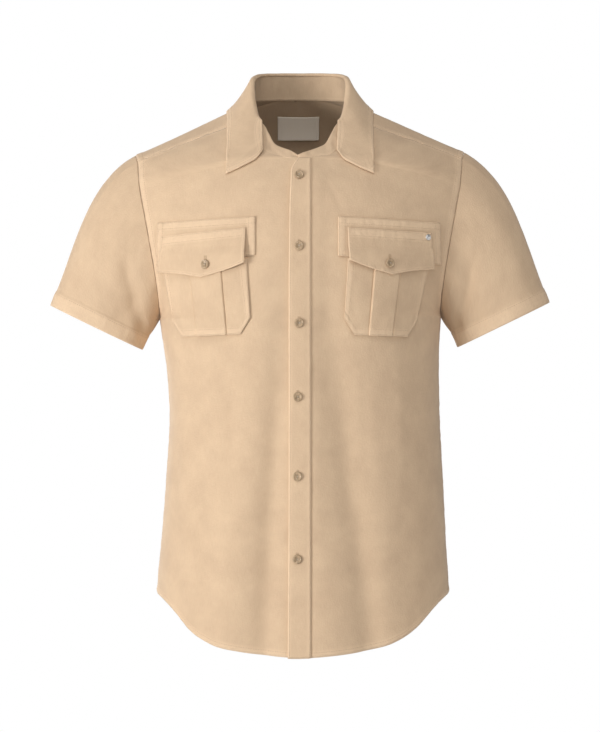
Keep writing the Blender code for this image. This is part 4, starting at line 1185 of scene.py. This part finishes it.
def drilled_button():
    """The button's mesh in its own place, with its four holes cut through."""
    blank = loose("blank", turned(BUTTON_PROFILE, 40))
    mesh = bmesh.new()
    for angle in HOLE_TURNS:
        spot = Vector((math.cos(angle), math.sin(angle), 1)) * BUTTON["hole_out"] * MM
        bmesh.ops.create_cone(mesh, cap_ends=True, segments=14, radius1=BUTTON["hole"] * MM,
                              radius2=BUTTON["hole"] * MM, depth=0.008,
                              matrix=Matrix.Translation(spot))
    drills = loose("drills", mesh)
    cut = blank.modifiers.new("holes", "BOOLEAN")
    cut.operation = "DIFFERENCE"
    cut.solver = "EXACT"
    cut.object = drills
    bpy.context.view_layer.update()
    drilled = blank.evaluated_get(bpy.context.evaluated_depsgraph_get())
    result = bpy.data.meshes.new_from_object(drilled)
    for shape in (blank, drills):
        bpy.data.objects.remove(shape)
    return result


def stood_on(tree, x, z, lie):
    """Where something flat sits on a surface in the front view, as a matrix, facing as it does."""
    place, normal = seat(tree, x, z)
    turn = Vector(normal).to_track_quat("Z", "Y").to_matrix().to_4x4()
    return Matrix.Translation(Vector(place + normal * lie) * MM) @ turn


resin, graph, shader = new_finish("tan_resin", {"Roughness": 0.38, "Coat Weight": 0.15})
place = add_node(graph, "TexCoord", {}).outputs["Object"]
stretched = add_node(graph, "Mapping", {"Scale": (500, 300, 120), "Vector": place})
streaks = add_node(graph, "TexNoise", {"Scale": 1, "Detail": 4, "Distortion": 1.5,
                                       "Vector": stretched.outputs["Vector"]})
RESIN_TINT = (0.47, 0.34, 0.215)
shades = ramp(graph, streaks.outputs["Fac"], toned(RESIN_TINT, (0.62, 0.60, 0.55)),
              toned(RESIN_TINT, (1.25, 1.25, 1.25)), (0.35, 0.68))
graph.links.new(shades, shader.inputs["Base Color"])
sewing_thread = thread_finish("pale_button_thread", (0.74, 0.64, 0.50))
button_shape = drilled_button()
placket_tree = look_up([placket_surface])
spots = [("button_%d" % (row + 1), placket_tree, x, z, 1.0)
         for row, (x, z) in enumerate(BUTTON_PLACES)]
spots += [("flap_button_right", flap_trees[RIGHT], *FLAP_BUTTONS[RIGHT], 4.0),
          ("flap_button_left", flap_trees[LEFT], *FLAP_BUTTONS[LEFT], 4.0)]
crosses, holes = [], []
for name, tree, x, z, above in spots:
    stood = stood_on(tree, x, z, WALL + BUTTON["lie"])
    mesh = bmesh.new()
    mesh.from_mesh(button_shape)
    bmesh.ops.transform(mesh, matrix=stood, verts=mesh.verts)
    button = finished("resin_" + name, mesh, resin)
    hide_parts(name)
    reach = BUTTON["hole_out"] + 0.35
    corners = [Vector((math.cos(angle) * reach, math.sin(angle) * reach, BUTTON["floor"] + 0.15))
               for angle in HOLE_TURNS]
    corners = unlifted([list((stood @ (corner * MM)) / MM) for corner in corners])
    facing = np.repeat(np.array(stood.to_3x3() @ Vector((0, 0, 1)))[None], 2, axis=0)
    crosses.append(threads(corners[[0, 1]], corners[[2, 3]], facing, 0.3))
    heights = z + np.linspace(-BUTTONHOLE["half"], BUTTONHOLE["half"], BUTTONHOLE["stitches"]) + above
    for edge in (-1, 1):
        ways = np.array([seat(tree, x + edge, height)[1] for height in heights])
        starts, ends = [unlifted(np.array([seat(tree, x + edge * out, height)[0] for height in heights])
                                 + ways * (WALL + 0.05))
                        for out in (BUTTONHOLE["slit"], BUTTONHOLE["reach"])]
        holes.append(threads(starts, ends, ways, 0.27))
thread_piece("button_thread", crosses, sewing_thread)
thread_piece("buttonhole_stitching", holes, thread)

# Rivet: a small silver-coloured metal cap at the outer corner of the left flap, where the
# flap's top seam ends.
RIVET_PROFILE = ((0, 1.75), (1.0, 1.7), (1.9, 1.45), (2.3, 1.15), (2.5, 0.95), (2.9, 1.0),
                 (3.5, 0.85), (3.95, 0.4), (4.0, 0.1), (3.9, 0), (0, 0))
RIVET_PLACE = (169.3, -172.6)
metal, graph, shader = new_finish("dull_silver_metal", {"Metallic": 1.0})
place = add_node(graph, "TexCoord", {}).outputs["Object"]
scuffs = add_node(graph, "TexNoise", {"Scale": 900, "Detail": 4, "Vector": place}).outputs["Fac"]
shades = ramp(graph, scuffs, (0.50, 0.50, 0.50), (0.78, 0.78, 0.78))
graph.links.new(shades, shader.inputs["Base Color"])
spread = add_node(graph, "MapRange", {"To Min": 0.28, "To Max": 0.5, "Value": scuffs})
graph.links.new(spread.outputs["Result"], shader.inputs["Roughness"])
mesh = turned(RIVET_PROFILE, 32)
bmesh.ops.transform(mesh, matrix=stood_on(flap_trees[LEFT], *RIVET_PLACE, WALL + 0.2),
                    verts=mesh.verts)
rivet = finished("metal_rivet", mesh, metal)
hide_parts("rivet")

# Label: a bare tab of cream woven tape, its ends turned under, sewn inside the yoke below the
# collar. The real one carries a name, which is left off.
LABEL = {"left": -31, "right": 26.5, "top": 0, "bottom": -30, "thick": 0.6}
LABEL_TILT = 0.1
LABEL_GRID = (21, 41)
tape, graph, shader = new_finish("cream_woven_tape", {"Roughness": 0.75, "Sheen Weight": 0.2})
flat = add_node(graph, "UVMap", {}, uv_map="cloth").outputs["UV"]
picks = add_node(graph, "TexWave", {"Scale": 420, "Distortion": 0.8, "Vector": flat},
                 bands_direction="Y").outputs["Fac"]
graph.links.new(ramp(graph, picks, (0.92, 0.83, 0.70), (0.98, 0.91, 0.79)), shader.inputs["Base Color"])
bump = add_node(graph, "Bump", {"Strength": 0.4, "Distance": 0.0001, "Height": picks})
graph.links.new(bump.outputs["Normal"], shader.inputs["Normal"])
yoke_tree = look_up([yoke_surface])
rows = []
for z in np.linspace(LABEL["top"], LABEL["bottom"], LABEL_GRID[0]):
    row = []
    for x in np.linspace(LABEL["left"], LABEL["right"], LABEL_GRID[1]):
        end = min(x - LABEL["left"], LABEL["right"] - x)
        hit, normal, _, _ = yoke_tree.ray_cast(Vector((x, 0, z)) * MM, Vector((0, 1, 0)))
        turned_end = 0.6 * float(1 - ease((end - 4) / 1.5))
        off = WALL + LABEL["thick"] + 0.9 - turned_end + LABEL_TILT * (LABEL["top"] - z)
        row.append(np.array(hit - normal * off * MM) / MM)
    rows.append(row)
grid = unlifted(rows)
cloth_piece("tape_label", "neck_label", [(grid, ())], (0, 0, -100), tape,
            outward=True, wall=LABEL["thick"])
